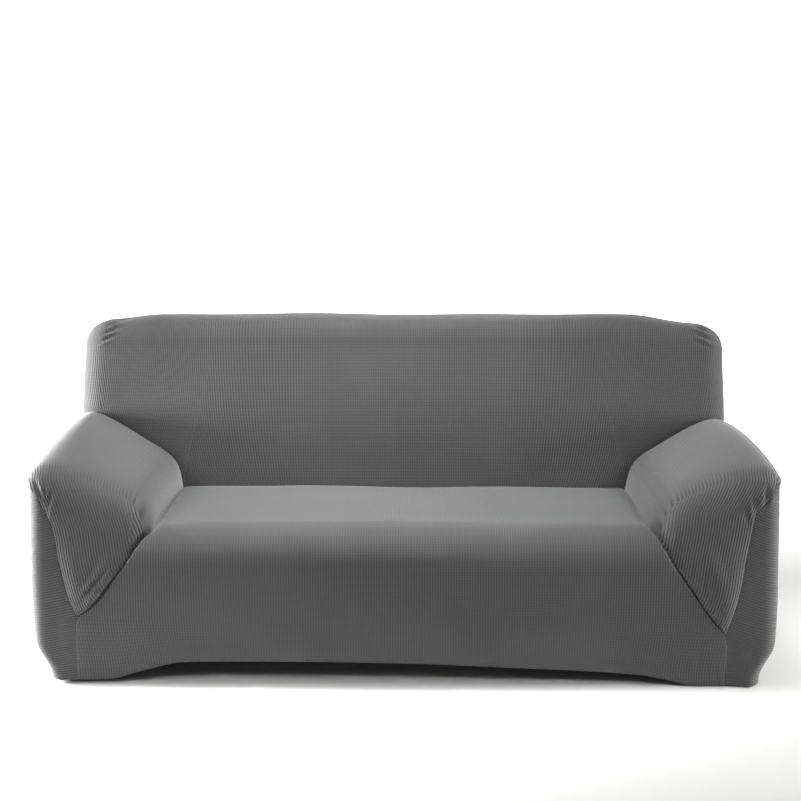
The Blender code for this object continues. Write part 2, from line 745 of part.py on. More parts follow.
def normals_of(points, faces):
    """Unit normals at the points, and how much of each is lost where its faces turn away."""
    normals = np.zeros_like(points)
    angles = np.zeros(len(points))
    for face in faces:
        for corner, normal in corner_turns(points, face):
            normals[corner] += normal
            angles[corner] += np.linalg.norm(normal)
    lengths = np.linalg.norm(normals, axis=1)
    return normals / lengths[:, None], lengths / angles


def sew(panels):
    """Every panel's grid in one list of points, where panels share their seam points."""
    points, index, sewn = [], {}, {}
    for name, (grid, faces) in panels.items():
        ids = []
        for point in grid:
            key = tuple(np.round(point, 6))
            if key not in index:
                index[key] = len(points)
                points.append(point)
            ids.append(index[key])
        kept = []
        for face in faces:
            loop = [ids[corner] for corner in face]
            loop = [corner for k, corner in enumerate(loop) if corner != loop[k - 1]]
            if len(loop) > 2:
                kept.append(tuple(loop))
        sewn[name] = (ids, kept)
    return np.array(points), sewn


def edge_loop(faces):
    """A panel's open edges, as (start, end) pairs in the direction of their faces."""
    edges = {(a, b) for face in faces for a, b in zip(face, face[1:] + face[:1])}
    return [(a, b) for a, b in edges if (b, a) not in edges]


def drawn_in(points, normals, edges):
    """How a panel's edge points move back from the seam, along the cloth."""
    across = {}
    for a, b in edges:
        for corner in (a, b):
            direction = np.cross(normals[corner], points[b] - points[a])
            across.setdefault(corner, []).append(direction / np.linalg.norm(direction))
    moves = {}
    for corner, directions in across.items():
        move = np.sum(directions, axis=0)
        move /= np.linalg.norm(move)
        moves[corner] = move * SEAM_INSET / max(np.dot(move, directions[0]), LEAST_TURN)
    return moves


def make_sheet(name, points, inner, normals, faces, material):
    """One closed sheet: its outer skin, its inner skin and a wall round its edge.

    The wall's triangles turn the same way on both sides of a seam, so that two panels stay parallel.
    """
    edges = edge_loop(faces)
    moves = drawn_in(points, normals, edges)
    used = sorted({corner for face in faces for corner in face})
    place = {corner: k for k, corner in enumerate(used)}
    shift = [moves.get(corner, np.zeros(3)) for corner in used]
    outer_points = [points[corner] + move for corner, move in zip(used, shift)]
    inner_points = [inner[corner] + move for corner, move in zip(used, shift)]
    count = len(used)
    skin = [tuple(place[corner] for corner in face) for face in faces]
    lining = [tuple(corner + count for corner in reversed(face)) for face in skin]
    wall = []
    for a, b in edges:
        p, q = place[a], place[b]
        if a < b:
            wall += [(q, p, q + count), (p, p + count, q + count)]
        else:
            wall += [(q, p, p + count), (q, p + count, q + count)]
    mesh = bpy.data.meshes.new(name)
    mesh.from_pydata([tuple(p) for p in outer_points + inner_points], [], skin + lining + wall)
    mesh.materials.append(material)
    mesh.shade_smooth()
    mesh.set_sharp_from_angle(angle=SHARP_EDGE)
    obj = bpy.data.objects.new(name, mesh)
    bpy.context.scene.collection.objects.link(obj)
    return obj


def knit_material(name, shade):
    material = bpy.data.materials.new(name)
    material.use_nodes = True
    shader = material.node_tree.nodes["Principled BSDF"]
    shader.inputs["Base Color"].default_value = tuple(c * shade for c in KNIT_GREY[:3]) + (1.0,)
    shader.inputs["Roughness"].default_value = KNIT_ROUGHNESS
    shader.inputs["Metallic"].default_value = 0.0
    return material


def flat_grid(grid, flip):
    faces = grid_faces(len(grid), len(grid[0]), flip)
    return [point for row in grid for point in row], faces


def main():
    for obj in list(bpy.data.objects):
        bpy.data.objects.remove(obj)
    sides = {-1: side_grid(-1), 1: side_grid(1)}
    back = back_grid()
    panels = {
        "seat_and_front": flat_grid(seat_grid(), True),
        "inside_back": flat_grid(back, False),
        "arm_left": flat_grid(arm_grid(-1), False),
        "arm_right": flat_grid(arm_grid(1), True),
        "side_left": flat_grid(sides[-1], False),
        "side_right": flat_grid(sides[1], True),
        "outside_back": rear_panel(sides, back),
    }
    gathers = {}
    for name, (grid, _) in panels.items():
        columns = {"inside_back": len(back[0]), "arm_left": len(ARM_ACROSS), "arm_right": len(ARM_ACROSS)}
        if name in columns:
            for k, point in enumerate(grid):
                height = gather_height(name, *divmod(k, columns[name]))
                if height:
                    gathers[tuple(np.round(point, 6))] = height
    points, sewn = sew(panels)
    every_face = [face for _, faces in sewn.values() for face in faces]
    normals, _ = normals_of(points, every_face)
    heights = [fold_height(p) + gathers.get(tuple(np.round(p, 6)), 0.0) for p in points]
    above_hem = np.clip((points[:, 2] - LEVEL_HEM) / FULL_WAVES_ABOVE, 0.0, 1.0)
    points = points + normals * (np.array(heights) * above_hem)[:, None]
    low, high = points.min(axis=0), points.max(axis=0)
    points -= np.array(((low[0] + high[0]) / 2, (low[1] + high[1]) / 2, low[2]))
    normals, facing = normals_of(points, every_face)
    depth = CLOTH * np.minimum(1 / facing, MOST_MITRE)
    inner = points - normals * depth[:, None]
    shades = {"side_left": 1.25, "side_right": 0.85, "outside_back": 0.95}
    for name, (_, faces) in sewn.items():
        material = knit_material(name + "_knit", shades.get(name, 1.0))
        make_sheet(name, points, inner, normals, faces, material)


main()
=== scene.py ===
"""The looks of a fitted stretch slipcover for a three-seat sofa.

Every cut panel is a closed sheet of ribbed knit, drawn smooth and tight over the sofa's shape, with
its gathers, pulled folds, drawn-in seams and turned hem. The ribs run down the back, the seat and
the front, along the arms and down their fronts, and level round the two sides.

A panel's rows are numbered along the cloth: 0 to 1 in the tuck at the back of the seat, to 2 along
the seat's or the arm's top, to 3 round its front edge, to 4 down its front to the height of the
arm's lower tip, and to 5 down to the hem. Heights in the tables stand over the left front corner.
"""

from bisect import bisect_right
from collections import namedtuple
from functools import lru_cache
from math import asin, cos, exp, hypot, pi, radians, sin

import bpy
import numpy as np
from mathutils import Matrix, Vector


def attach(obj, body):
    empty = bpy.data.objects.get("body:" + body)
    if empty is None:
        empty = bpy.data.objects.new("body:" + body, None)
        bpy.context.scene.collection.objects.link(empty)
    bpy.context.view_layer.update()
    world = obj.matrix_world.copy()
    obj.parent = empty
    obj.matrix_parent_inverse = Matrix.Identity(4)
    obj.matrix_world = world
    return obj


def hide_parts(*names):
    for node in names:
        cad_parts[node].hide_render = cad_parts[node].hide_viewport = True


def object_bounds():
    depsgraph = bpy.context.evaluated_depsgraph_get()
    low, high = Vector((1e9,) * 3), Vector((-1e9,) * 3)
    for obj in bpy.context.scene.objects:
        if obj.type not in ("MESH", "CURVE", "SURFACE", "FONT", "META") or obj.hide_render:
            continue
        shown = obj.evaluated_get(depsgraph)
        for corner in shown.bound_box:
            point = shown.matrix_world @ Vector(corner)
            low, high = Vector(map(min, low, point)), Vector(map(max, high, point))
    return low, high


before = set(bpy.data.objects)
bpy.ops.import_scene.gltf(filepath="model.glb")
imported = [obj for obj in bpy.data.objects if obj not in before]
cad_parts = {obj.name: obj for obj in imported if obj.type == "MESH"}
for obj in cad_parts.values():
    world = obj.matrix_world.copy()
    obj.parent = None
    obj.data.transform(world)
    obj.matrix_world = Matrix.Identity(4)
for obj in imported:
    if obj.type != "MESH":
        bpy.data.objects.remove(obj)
CAD_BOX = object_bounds()


def table(columns, *rows):
    """Rows whose values are read by the names of their columns."""
    row_of = namedtuple("Row", columns)
    return tuple(row_of(*row) for row in rows)


# Driving sizes of the whole cover
HALF_WIDTH = 1.000
FRONT_Y = -0.430
REAR_Y = 0.437
TOP_Z = 0.912

# The cloth and its seams, where a groove is how far a seam is drawn in below the panels beside it
CLOTH = 0.0025
SEAM_INSET = 0.00022
MOST_MITRE = 1.6
LEAST_TURN = 0.4
SLOPE_STEP = 0.01
TUCK = 0.030
SEAT_GROOVE = 0.020
BACK_GROOVE = 0.012
BACK_GROOVE_SET_BACK = 0.004
FRONT_GROOVE = 0.0035
RIM_GROOVE_SHARE = 0.5
LIP = 0.009

# The seat and its front
SEAT_Z = 0.424
SEAT_BACK_Y = 0.098
SEAT_FRONT_Y = -0.345
SEAT_ROUND = 0.085
SEAT_HALF = {-1: 0.672, 1: 0.660}
SEAT_DIP = 0.012
SEAT_DIP_RATE = 14
SEAT_CROWN = 0.006
SEAT_CROWN_FROM = 0.5
SEAM_TURNS_OVER = 0.5
TUCK_DEPTH = 0.024
FRONT_BULGE = 0.010
FRONT_BULGE_FULL_Z = 0.30
HEM_TUCK_IN = 0.010
HEM_TUCK_IN_Z = 0.20

# The back
BACK_Y = 0.110
BACK_LEAN = 0.190
BACK_ROUND = 0.070
BACK_HALF_LOW = {-1: 0.927, 1: 0.908}
BACK_HALF_TOP = {-1: 0.920, 1: 0.904}
BACK_RING_Z = TOP_Z - BACK_ROUND
BACK_PUFF = 0.012
CORNER_DROOP = {-1: 0.014, 1: 0.024}
CORNER_DROOP_FROM = {-1: 0.78, 1: 0.70}
REAR_DROP = 0.014
REAR_DROP_FROM = 0.6
STRIP_DROP_FROM = 0.8
REAR_BULGE = 0.005

# The arms
ARM_ROUND = 0.050
ARM_LIP = 0.008
ARM_FRONT_PUFF = 0.015
ARM_PUFF_FULL = 0.7
ARM_PUFF_FADE = 0.25
ARM_TOP_BOW = 0.024
ARM_MIDDLE = 0.5
RIM_BOW = 0.0145
ARM_BACK_DROP = {-1: 0.004, 1: 0.024}
ARM_INNER_SHARE = 0.3
RIM_OVERHANG = 0.003
RIM_BACK_REACH = 0.014
RIM_BACK_RISE = 0.002
CORNER_ROUND = 0.045
CORNER_STEPS = 8
SIDE_STRIP_Z = 0.590
SIDE_MIDDLE_Y = 0.20
SIDE_MIDDLE_IN = 0.004
SIDE_REAR_IN = 0.010
SIDE_REAR_RUN = 0.040
SIDE_FLARE = 0.008
SIDE_FLARE_HEIGHT = 0.40
SIDE_COLUMNS_SETTLE = 2.2

# Low down, each side is pulled in under the seat, fully where it stands this far out or further
SIDE_PULL_IN = {-1: 0.046, 1: 0.041}
SIDE_PULL_HEIGHT = 0.105
SIDE_PULL_FROM = 0.88
SIDE_PULL_FULL = 0.98

# An arm from its inner foot, across 0, to its outer rim, across 1, at its front and at its back
ARM_RIM = 0.68
ARM_SECTIONS = table(
    "across x_front z_front x_back z_back",
    (0.00, 0.676, 0.424, 0.672, 0.418),
    (0.06, 0.678, 0.452, 0.675, 0.446),
    (0.12, 0.689, 0.488, 0.685, 0.480),
    (0.20, 0.712, 0.517, 0.708, 0.510),
    (0.32, 0.765, 0.543, 0.760, 0.545),
    (0.44, 0.820, 0.563, 0.812, 0.580),
    (0.56, 0.868, 0.583, 0.864, 0.612),
    (ARM_RIM, 0.912, 0.596, 0.915, 0.637),
    (0.76, 0.945, 0.598, 0.942, 0.640),
    (0.84, 0.976, 0.594, 0.965, 0.633),
    (0.92, 0.996, 0.581, 0.980, 0.614),
    (1.00, 1.003, 0.560, 0.985, 0.588),
)

# The two seams down each arm's front, as half widths at a height
APRON_SEAM = table(
    "z left right",
    (0.424, 0.676, 0.676),
    (0.397, 0.704, 0.688),
    (0.349, 0.734, 0.714),
    (0.324, 0.751, 0.729),
    (0.268, 0.793, 0.769),
    (0.204, 0.846, 0.816),
    (0.180, 0.878, 0.833),
    (0.138, 0.886, 0.862),
    (0.090, 0.889, 0.873),
    (0.000, 0.888, 0.870),
)
SIDE_SEAM = table(
    "z left right",
    (0.560, 1.003, 1.003),
    (0.516, 0.974, 0.964),
    (0.467, 0.948, 0.926),
    (0.424, 0.932, 0.919),
    (0.350, 0.922, 0.907),
    (0.258, 0.904, 0.896),
    (0.195, 0.885, 0.880),
    (0.180, 0.878, 0.876),
    (0.138, 0.870, 0.862),
)
TIP_Z = {-1: 0.180, 1: 0.138}

# The front hem's height along the front
FRONT_HEM = table(
    "x z",
    (-0.890, 0.000),
    (-0.805, 0.002),
    (-0.700, 0.030),
    (-0.590, 0.054),
    (-0.270, 0.056),
    (0.050, 0.050),
    (0.350, 0.039),
    (0.640, 0.022),
    (0.720, 0.006),
    (0.790, -0.008),
    (0.890, -0.010),
)
HEM_LOW = {-1: 0.0, 1: -0.010}
SIDE_HEM_ARCH = 0.018
REAR_HEM_ARCH = 0.030
REAR_ARCH_RISE = 6

# Folds pulled across the arm fronts, each along a line from one point to another, with its height,
# or its depth below 0, and the share of the line at which it peaks
FOLD_COLUMNS = "side x1 z1 x2 z2 width height peak"
FRONT_FOLDS = table(
    FOLD_COLUMNS,
    (-1, 0.748, 0.352, 0.872, 0.196, 0.0095, 0.0095, 0.6),
    (-1, 0.760, 0.352, 0.880, 0.214, 0.0075, -0.0080, 0.6),
    (-1, 0.776, 0.352, 0.878, 0.228, 0.0080, 0.0065, 0.6),
    (-1, 0.790, 0.378, 0.868, 0.258, 0.0120, -0.0045, 0.5),
    (-1, 0.690, 0.430, 0.752, 0.360, 0.0110, 0.0028, 0.5),
    (-1, 0.706, 0.436, 0.768, 0.376, 0.0100, -0.0022, 0.5),
    (1, 0.715, 0.356, 0.862, 0.146, 0.0075, 0.0060, 0.6),
    (1, 0.745, 0.350, 0.868, 0.176, 0.0110, -0.0040, 0.5),
    (1, 0.790, 0.410, 0.874, 0.230, 0.0180, 0.0035, 0.5),
)
FOLDS_REACH = 0.06

# Short gathers where the cloth is drawn in round each arm's front corner
ARM_GATHERS = table(
    FOLD_COLUMNS,
    (-1, 0.984, 0.565, 0.952, 0.508, 0.0050, -0.0075, 0.5),
    (-1, 0.966, 0.560, 0.950, 0.512, 0.0045, 0.0075, 0.5),
    (-1, 0.953, 0.558, 0.944, 0.500, 0.0040, -0.0063, 0.5),
    (-1, 0.936, 0.560, 0.946, 0.500, 0.0050, 0.0072, 0.6),
    (-1, 0.926, 0.545, 0.944, 0.484, 0.0045, -0.0060, 0.6),
    (-1, 0.912, 0.530, 0.942, 0.458, 0.0050, 0.0060, 0.7),
    (1, 0.974, 0.555, 0.966, 0.500, 0.0050, 0.0060, 0.5),
    (1, 0.956, 0.556, 0.955, 0.498, 0.0050, -0.0063, 0.5),
    (1, 0.940, 0.550, 0.948, 0.486, 0.0050, 0.0067, 0.5),
    (1, 0.918, 0.535, 0.930, 0.478, 0.0045, -0.0067, 0.5),
    (1, 0.904, 0.528, 0.920, 0.462, 0.0045, 0.0060, 0.6),
    (1, 0.894, 0.510, 0.914, 0.438, 0.0045, -0.0060, 0.6),
)

# Small pleats that ease the cloth round the back's two top corners
BACK_PLEATS = table(
    FOLD_COLUMNS,
    (-1, 0.854, 0.910, 0.918, 0.884, 0.0048, -0.0060, 0.5),
    (-1, 0.858, 0.898, 0.928, 0.870, 0.0048, 0.0058, 0.5),
    (-1, 0.864, 0.887, 0.936, 0.859, 0.0045, -0.0054, 0.5),
    (-1, 0.868, 0.876, 0.942, 0.848, 0.0045, 0.0052, 0.5),
    (-1, 0.874, 0.865, 0.946, 0.837, 0.0048, -0.0050, 0.5),
    (-1, 0.880, 0.853, 0.946, 0.827, 0.0052, 0.0036, 0.5),
    (1, 0.866, 0.893, 0.930, 0.871, 0.0048, -0.0056, 0.5),
    (1, 0.866, 0.882, 0.938, 0.857, 0.0048, 0.0056, 0.5),
    (1, 0.868, 0.871, 0.942, 0.845, 0.0045, -0.0056, 0.5),
    (1, 0.870, 0.860, 0.942, 0.833, 0.0045, 0.0050, 0.5),
    (1, 0.872, 0.849, 0.938, 0.822, 0.0048, -0.0042, 0.5),
)

# Slow waves over the whole cover
WAVES = table(
    "x y z phase height",
    (7.0, 5.0, 9.0, 0.4, 0.0016),
    (-13.0, 8.0, 6.0, 1.9, 0.0012),
    (4.0, -11.0, 17.0, 3.1, 0.0009),
)
LEVEL_HEM = 0.002
FULL_WAVES_ABOVE = 0.06

# How finely each panel is drawn, and how far it is smoothed and its crests evened out
TUCK_STEPS = 4
SEAT_ROWS = 48
ROUND_ROWS = 20
FRONT_ROWS = 48
HEM_ROWS = 20
LIP_STEPS = 4
SEAT_COLUMNS = 170
ARM_FOOT = 0.06
ARM_FOOT_SHARES = (0.008, 0.018, 0.034, ARM_FOOT)
ARM_COLUMNS = 48
RIM_STEPS = 24
STRIP_STEPS = 12
BACK_FOOT = 0.06
BACK_FOOT_STEPS = 6
BACK_LOW_SHARE = 0.8
BACK_LOW_ROWS = 44
BACK_HIGH_ROWS = 24
REAR_COLUMN_STEP = 5
REAR_ROW_STEP = 4
EDGE_U = 1 - LIP / SEAT_HALF[1]
SMOOTHING = 0.5
SMOOTHING_ROUNDS = 8
NORMALS_EVERY = 8
SOFT_PANELS = ("arm_left", "arm_right", "inside_back")
SOFT_ROUNDS = 48
ARM_RELAXING = 60
SHARP_EDGE = radians(50)
PLEATS_FROM_Z = 0.80
PLEATS_TO_Y = 0.36
PLEATS_FADE = 0.02

# Where a side panel's columns reach its hem: by station along its top edge, which runs from the
# arm's front corner, 0, over the arm's top, to 3 at its back, and to 4 at the rear seam
SIDE_COLUMNS = table(
    "station foot",
    (0.00, 0.00),
    (0.25, 0.04),
    (0.50, 0.08),
    (0.75, 0.11),
    (1.00, 0.135),
    (1.28, 0.16),
    (1.55, 0.20),
    (1.78, 0.28),
    (1.93, 0.40),
    (2.00, 0.50),
    (3.00, 0.64),
    (3.33, 0.76),
    (3.67, 0.88),
    (4.00, 1.00),
)

# How the ribs lean: outwards low on the front's corners, along the arm fronts' outer seams, down
# from the seam on the sides, and fanned out on the back above the arms
CORNER_LEAN = 0.09
CORNER_LEAN_Z = 0.20
CORNER_LEAN_FROM = 0.48
CORNER_LEAN_RUN = 0.20
ARM_RIB_LEAN = radians(10)
ARM_CREST = 2.35
ARM_LEAN_Z = 0.45
ARM_LEAN_SHARE = 0.6
SIDE_RIB_LEAN = {-1: 0.22, 1: 0.42}
SIDE_LEAN_RUN = {-1: 0.30, 1: 0.16}
SIDE_LEAN_Z = 0.08
BACK_FAN = 0.075
BACK_FAN_HEIGHT = 0.20
BACK_FAN_FROM = 0.22
BACK_FAN_RUN = 0.40
BACK_FAN_END = 0.35
BACK_FAN_FALL = 0.76
BACK_STRETCH = (0.98, 1.3)

# How deep the ribs stand: shallow where the cloth is drawn flat, deep where it is slack; the depth also
# sets how dark the painted shade in their grooves is
SEAT_RIBS = 0.42
APRON_END_RIBS = 0.9
ARM_TOP_RIBS = 0.15
ARM_FRONT_RIBS = 1.9
ARM_FRONT_FROM = 2.05
ARM_FRONT_RUN = 0.45
SIDE_RIBS = 1.0
BACK_RIBS = 0.50
BACK_END_RIBS = 1.1
REAR_RIBS = 0.6

# Each panel's flat cut: measured on the sofa and taken 8 percent smaller both ways, because the
# knit is cut small and worn stretched
CUTS = table(
    "node width length area",
    ("seat_and_front", 1.63, 0.93, 1.14),
    ("inside_back", 2.08, 0.70, 1.26),
    ("arm_left", 0.47, 0.96, 0.290),
    ("arm_right", 0.47, 1.00, 0.292),
    ("side_left", 0.90, 0.72, 0.460),
    ("side_right", 0.92, 0.70, 0.462),
    ("outside_back", 1.80, 0.84, 1.44),
)

# How seams roll the cloth beside them: the arm's foot turns under, the cloth sinks in on both sides
# of its inner seam, deeper on top, and the arm front's two edges stand up a little inside theirs
ARM_ROLL = 0.003
ARM_ROLL_WIDTH = 0.020
SEAM_SINK = 0.0068
SEAM_SINK_WIDTH = 0.0050
SEAM_SINK_ON_TOP = 1.6
SEAM_RIDGE = {-1: 0.0016, 1: 0.0030}
SEAM_RIDGE_IN = 0.007
SEAM_RIDGE_WIDTH = 0.004
RIM_RIDGE = 0.0010
RIM_RIDGE_IN = 0.004
RIM_RIDGE_WIDTH = 0.003

# Where an arm's foot rolls, its inner seam sinks, its ridges stand and its crest is evened out, by
# rows or by the share across the arm: each fades in from its start and out before its end
Stretch = namedtuple("Stretch", "start rise end fall")
ROLLED_ROWS = Stretch(1.2, 0.8, 3.4, 0.6)
SUNK_ROWS = Stretch(1.0, 0.2, 4.0, 0.25)
RIDGED_ROWS = Stretch(ARM_FRONT_FROM, ARM_FRONT_RUN, 4.0, 0.2)
RELAXED_ROWS = Stretch(1.6, 0.5, 3.6, 0.4)
RELAXED_ACROSS = Stretch(0.015, 0.08, 0.70, 0.25)

# The knit: its ribs and the loops across them, and how many bends of a rib, lumps of the yarn and
# paler patches there are in a metre
RIB_PITCH = 0.0071
RIB_HEIGHT = 0.0016
RIB_ROUNDNESS = 0.7
RIB_WANDER = 0.0016
RIB_BENDS = 16.0
LOOP_PITCH = 0.0073
LOOP_ROUNDNESS = 0.6
LOOP_DEPTH = 0.24
RIB_MEAN = 0.72
CROWN_SHARE = 0.40
YARN_UNEVENNESS = 0.5
YARN_LUMPS = 900.0
PATCHINESS = 0.25
PATCHES = 7.0
# The groove grey is painted shade that darkens the knit between its ribs and loops; the crown grey is
# the yarn's own colour
PAINTED_GROOVE_SHADE = "#313131"
CROWN_GREY = "#555555"

# The studio
PAPER_WHITE = "#cececd"
AIR_WHITE = "#fafafa"
AIR_STRENGTH = 0.26
FLOOR_REACH = 9.0
FLOOR_BELOW = 0.0005
SWEEP_FROM = 5.0
SWEEP_ROUND = 2.0
SWEEP_STEPS = 16
SOFTBOXES = table(
    "name place aim width height power spread",
    ("overhead_softbox", (-0.3, -0.65, 3.4), (-0.1, -0.15, 0.4), 2.2, 1.4, 60.0, 180),
    ("overhead_strip", (-0.15, -0.25, 3.4), (-0.15, -0.18, 0.0), 1.2, 0.4, 12.0, 40),
    ("left_side_box", (-2.5, 0.05, 0.68), (-0.9, -0.05, 0.4), 0.9, 0.5, 95.0, 120),
    ("right_side_box", (2.5, -0.3, 0.68), (0.9, -0.1, 0.4), 1.0, 0.6, 24.0, 120),
    ("left_front_box", (-2.4, -2.4, 2.2), (-0.8, -0.4, 0.42), 0.9, 0.9, 2.6, 30),
    ("right_front_box", (2.4, -2.4, 2.2), (0.8, -0.4, 0.42), 0.9, 0.9, 2.4, 30),
    ("backdrop_box", (0.0, 2.5, 3.6), (0.0, 5.2, 0.4), 8.0, 1.0, 1200.0, 140),
)
CAMERA_PLACE = (0.041, -3.94, 1.438)
CAMERA_PITCH = 10.5
CAMERA_TURN = 0.8
CAMERA_LENS = 61.66
SENSOR_WIDTH = 36.0


def lerp(start, end, share):
    return start + (end - start) * share


def ease(share):
    share = min(max(share, 0.0), 1.0)
    return share * share * (3 - 2 * share)


def half_ease(share):
    return (share + ease(share)) / 2


@lru_cache(maxsize=None)
def table_curve(rows, key, value):
    """One column of a table as a smooth curve: its keys, its values and its slopes there."""
    rows = sorted(rows, key=lambda row: getattr(row, key))
    keys = [getattr(row, key) for row in rows]
    values = [getattr(row, value) for row in rows]
    slopes = [(b - a) / (d - c) for a, b, c, d in zip(values, values[1:], keys, keys[1:])]
    tangents = [slopes[0]]
    for before, after in zip(slopes, slopes[1:]):
        turns = before * after <= 0
        tangents.append(0.0 if turns else 2 * before * after / (before + after))
    tangents.append(slopes[-1])
    return keys, values, tangents


def read_table(rows, key, value, at):
    """A table's value at any key, along a smooth curve through its rows."""
    keys, values, tangents = table_curve(rows, key, value)
    at = min(max(at, keys[0]), keys[-1])
    i = min(bisect_right(keys, at) - 1, len(keys) - 2)
    width = keys[i + 1] - keys[i]
    t = (at - keys[i]) / width
    return (
        values[i] * (1 + 2 * t) * (1 - t) ** 2
        + tangents[i] * width * t * (1 - t) ** 2
        + values[i + 1] * t * t * (3 - 2 * t)
        + tangents[i + 1] * width * t * t * (t - 1)
    )


def seam_x(seam, side, z):
    return read_table(seam, "z", "left" if side < 0 else "right", z)


@lru_cache(maxsize=None)
def hem_z(x):
    return read_table(FRONT_HEM, "x", "z", x)


def front_y(z):
    """The front plane, which leans in a little towards the hem."""
    return FRONT_Y + HEM_TUCK_IN * ease((HEM_TUCK_IN_Z - z) / HEM_TUCK_IN_Z)


def back_y(z):
    return BACK_Y + BACK_LEAN * (z - SEAT_Z)


# ---- seams that two panels share ----


def seat_section(row):
    """(y, z) down the middle of the seat, from the tuck to the end of the front's round edge."""
    if row <= 1:
        z = SEAT_Z - SEAT_DIP - TUCK_DEPTH * (1 - row)
        return lerp(SEAT_BACK_Y + LIP, SEAT_BACK_Y, row), z
    if row <= 2:
        z = SEAT_Z - SEAT_DIP * exp(-SEAT_DIP_RATE * (row - 1))
        return lerp(SEAT_BACK_Y, SEAT_FRONT_Y, row - 1), z
    turn = (min(row, 3) - 2) * pi / 2
    y = SEAT_FRONT_Y - SEAT_ROUND * sin(turn)
    return y, SEAT_Z - SEAT_ROUND * (1 - cos(turn))


FRONT_TOP_Z = SEAT_Z - SEAT_ROUND


@lru_cache(maxsize=None)
def apron_seam(side, row):
    """Between the seat and front panel and an arm, then the side: from the tuck to the hem."""
    if row <= 3:
        y, z = seat_section(row)
        groove = SEAT_GROOVE if row <= 2 else lerp(SEAT_GROOVE, FRONT_GROOVE, ease(row - 2))
        turn = max(row - 2, 0) * pi / 2
        turned = ease((row - 2) / SEAM_TURNS_OVER)
        x = lerp(SEAT_HALF[side], seam_x(APRON_SEAM, side, z), turned)
        if row < 1:
            groove *= row
        return np.array((side * x, y + groove * sin(turn), z - groove * cos(turn)))
    tip = TIP_Z[side]
    if row <= 4:
        z = lerp(FRONT_TOP_Z, tip, row - 3)
    else:
        z = lerp(tip, hem_z(side * seam_x(APRON_SEAM, side, 0)), row - 4)
    return np.array((side * seam_x(APRON_SEAM, side, z), front_y(z) + FRONT_GROOVE, z))


def arm_table(column, across):
    return read_table(ARM_SECTIONS, "across", column, across)


def past_rim(across):
    """How far past the start of its rounded rim a place on an arm is: 0 up to there, 1 at its seam."""
    return max(across - ARM_RIM, 0) / (1 - ARM_RIM)


@lru_cache(maxsize=None)
def arm_back_surface(side, across):
    """(x, y, z) where an arm's section meets the inside back, before either dips into the seam."""
    z = arm_table("z_back", across) - ARM_BACK_DROP[side] * ease(across)
    if across <= ARM_RIM:
        foot, rim = arm_table("x_back", 0.0), arm_table("x_back", ARM_RIM)
        share = (arm_table("x_back", across) - foot) / (rim - foot)
        return lerp(SEAT_HALF[side], BACK_HALF_LOW[side], share), back_y(z), z
    turn = past_rim(across) * pi / 2
    x = BACK_HALF_LOW[side] + BACK_ROUND * sin(turn)
    return x, back_y(z) + BACK_ROUND * (1 - cos(turn)), z


def arm_back_point(side, across, lift, back):
    """A point off the line where an arm meets the inside back, lifted off the arm's surface."""
    x, y, z = arm_back_surface(side, across)
    x_on, _, z_on = arm_back_surface(side, min(across + SLOPE_STEP, 1.0))
    x_off, _, z_off = arm_back_surface(side, max(across - SLOPE_STEP, 0.0))
    run, rise = x_on - x_off, z_on - z_off
    lift *= lerp(1, RIM_GROOVE_SHARE, ease(past_rim(across))) / hypot(run, rise)
    return np.array((side * (x - rise * lift), y + back, z + run * lift))


@lru_cache(maxsize=None)
def arm_back_seam(side, across):
    """Between an arm and the inside back, sunk a little under the arm's surface."""
    if across == 0:
        return apron_seam(side, 0.0)
    return arm_back_point(side, across, -BACK_GROOVE, BACK_GROOVE_SET_BACK)


@lru_cache(maxsize=None)
def arm_back_lip(side, across):
    """Where the inside back comes up out of that seam."""
    lip = arm_back_point(side, across, BACK_GROOVE, 0.0)
    lip[0] = side * max(side * lip[0], SEAT_HALF[side])
    lip[2] = max(lip[2], arm_back_seam(side, across)[2] + BACK_GROOVE)
    return lip


@lru_cache(maxsize=None)
def rim_seam(side, row):
    """Between an arm and its side panel: along the outer top edge and down the front to the tip."""
    if row <= 1:
        start = arm_back_seam(side, 1.0)
        end = start + np.array((0, -RIM_BACK_REACH, RIM_BACK_RISE))
        end[0] = side * (HALF_WIDTH + RIM_OVERHANG)
        return lerp(start, end, row)
    rim_front_y = FRONT_Y + ARM_ROUND
    if row <= 2:
        start = rim_seam(side, 1.0)
        bow = RIM_BOW * sin((row - 1) * pi)
        end = np.array((side * arm_table("x_front", 1.0), rim_front_y, arm_table("z_front", 1.0)))
        return lerp(start, end, row - 1) + np.array((0, 0, bow))
    if row <= 3:
        turn = (row - 2) * pi / 2
        z = arm_table("z_front", 1.0) - ARM_ROUND * (1 - cos(turn))
        y = rim_front_y - (ARM_ROUND - FRONT_GROOVE) * sin(turn)
        return np.array((side * seam_x(SIDE_SEAM, side, z), y, z))
    if row >= 4:
        return apron_seam(side, 4.0)
    z = lerp(arm_table("z_front", 1.0) - ARM_ROUND, TIP_Z[side], row - 3)
    return np.array((side * seam_x(SIDE_SEAM, side, z), front_y(z) + FRONT_GROOVE, z))


@lru_cache(maxsize=None)
def strip_seam(side, share):
    """Between a side panel and the inside back's side strip, from the arm to the rear."""
    start = arm_back_seam(side, 1.0)
    half = BACK_HALF_LOW[side] + BACK_ROUND
    end = np.array((side * (half - REAR_DROP), REAR_Y, SIDE_STRIP_Z))
    point = lerp(start, end, share)
    point[0] = side * (half - REAR_DROP * ease((share - STRIP_DROP_FROM) / (1 - STRIP_DROP_FROM)))
    return point


# ---- panels as grids of points ----


def rolled(seam, lip, share):
    """Cloth that rolls over into a sunk seam: a point between the seam and the lip beside it."""
    turn = share * pi / 2
    gap = lip - seam
    return seam + gap * np.array((1 - cos(turn), sin(turn), sin(turn)))


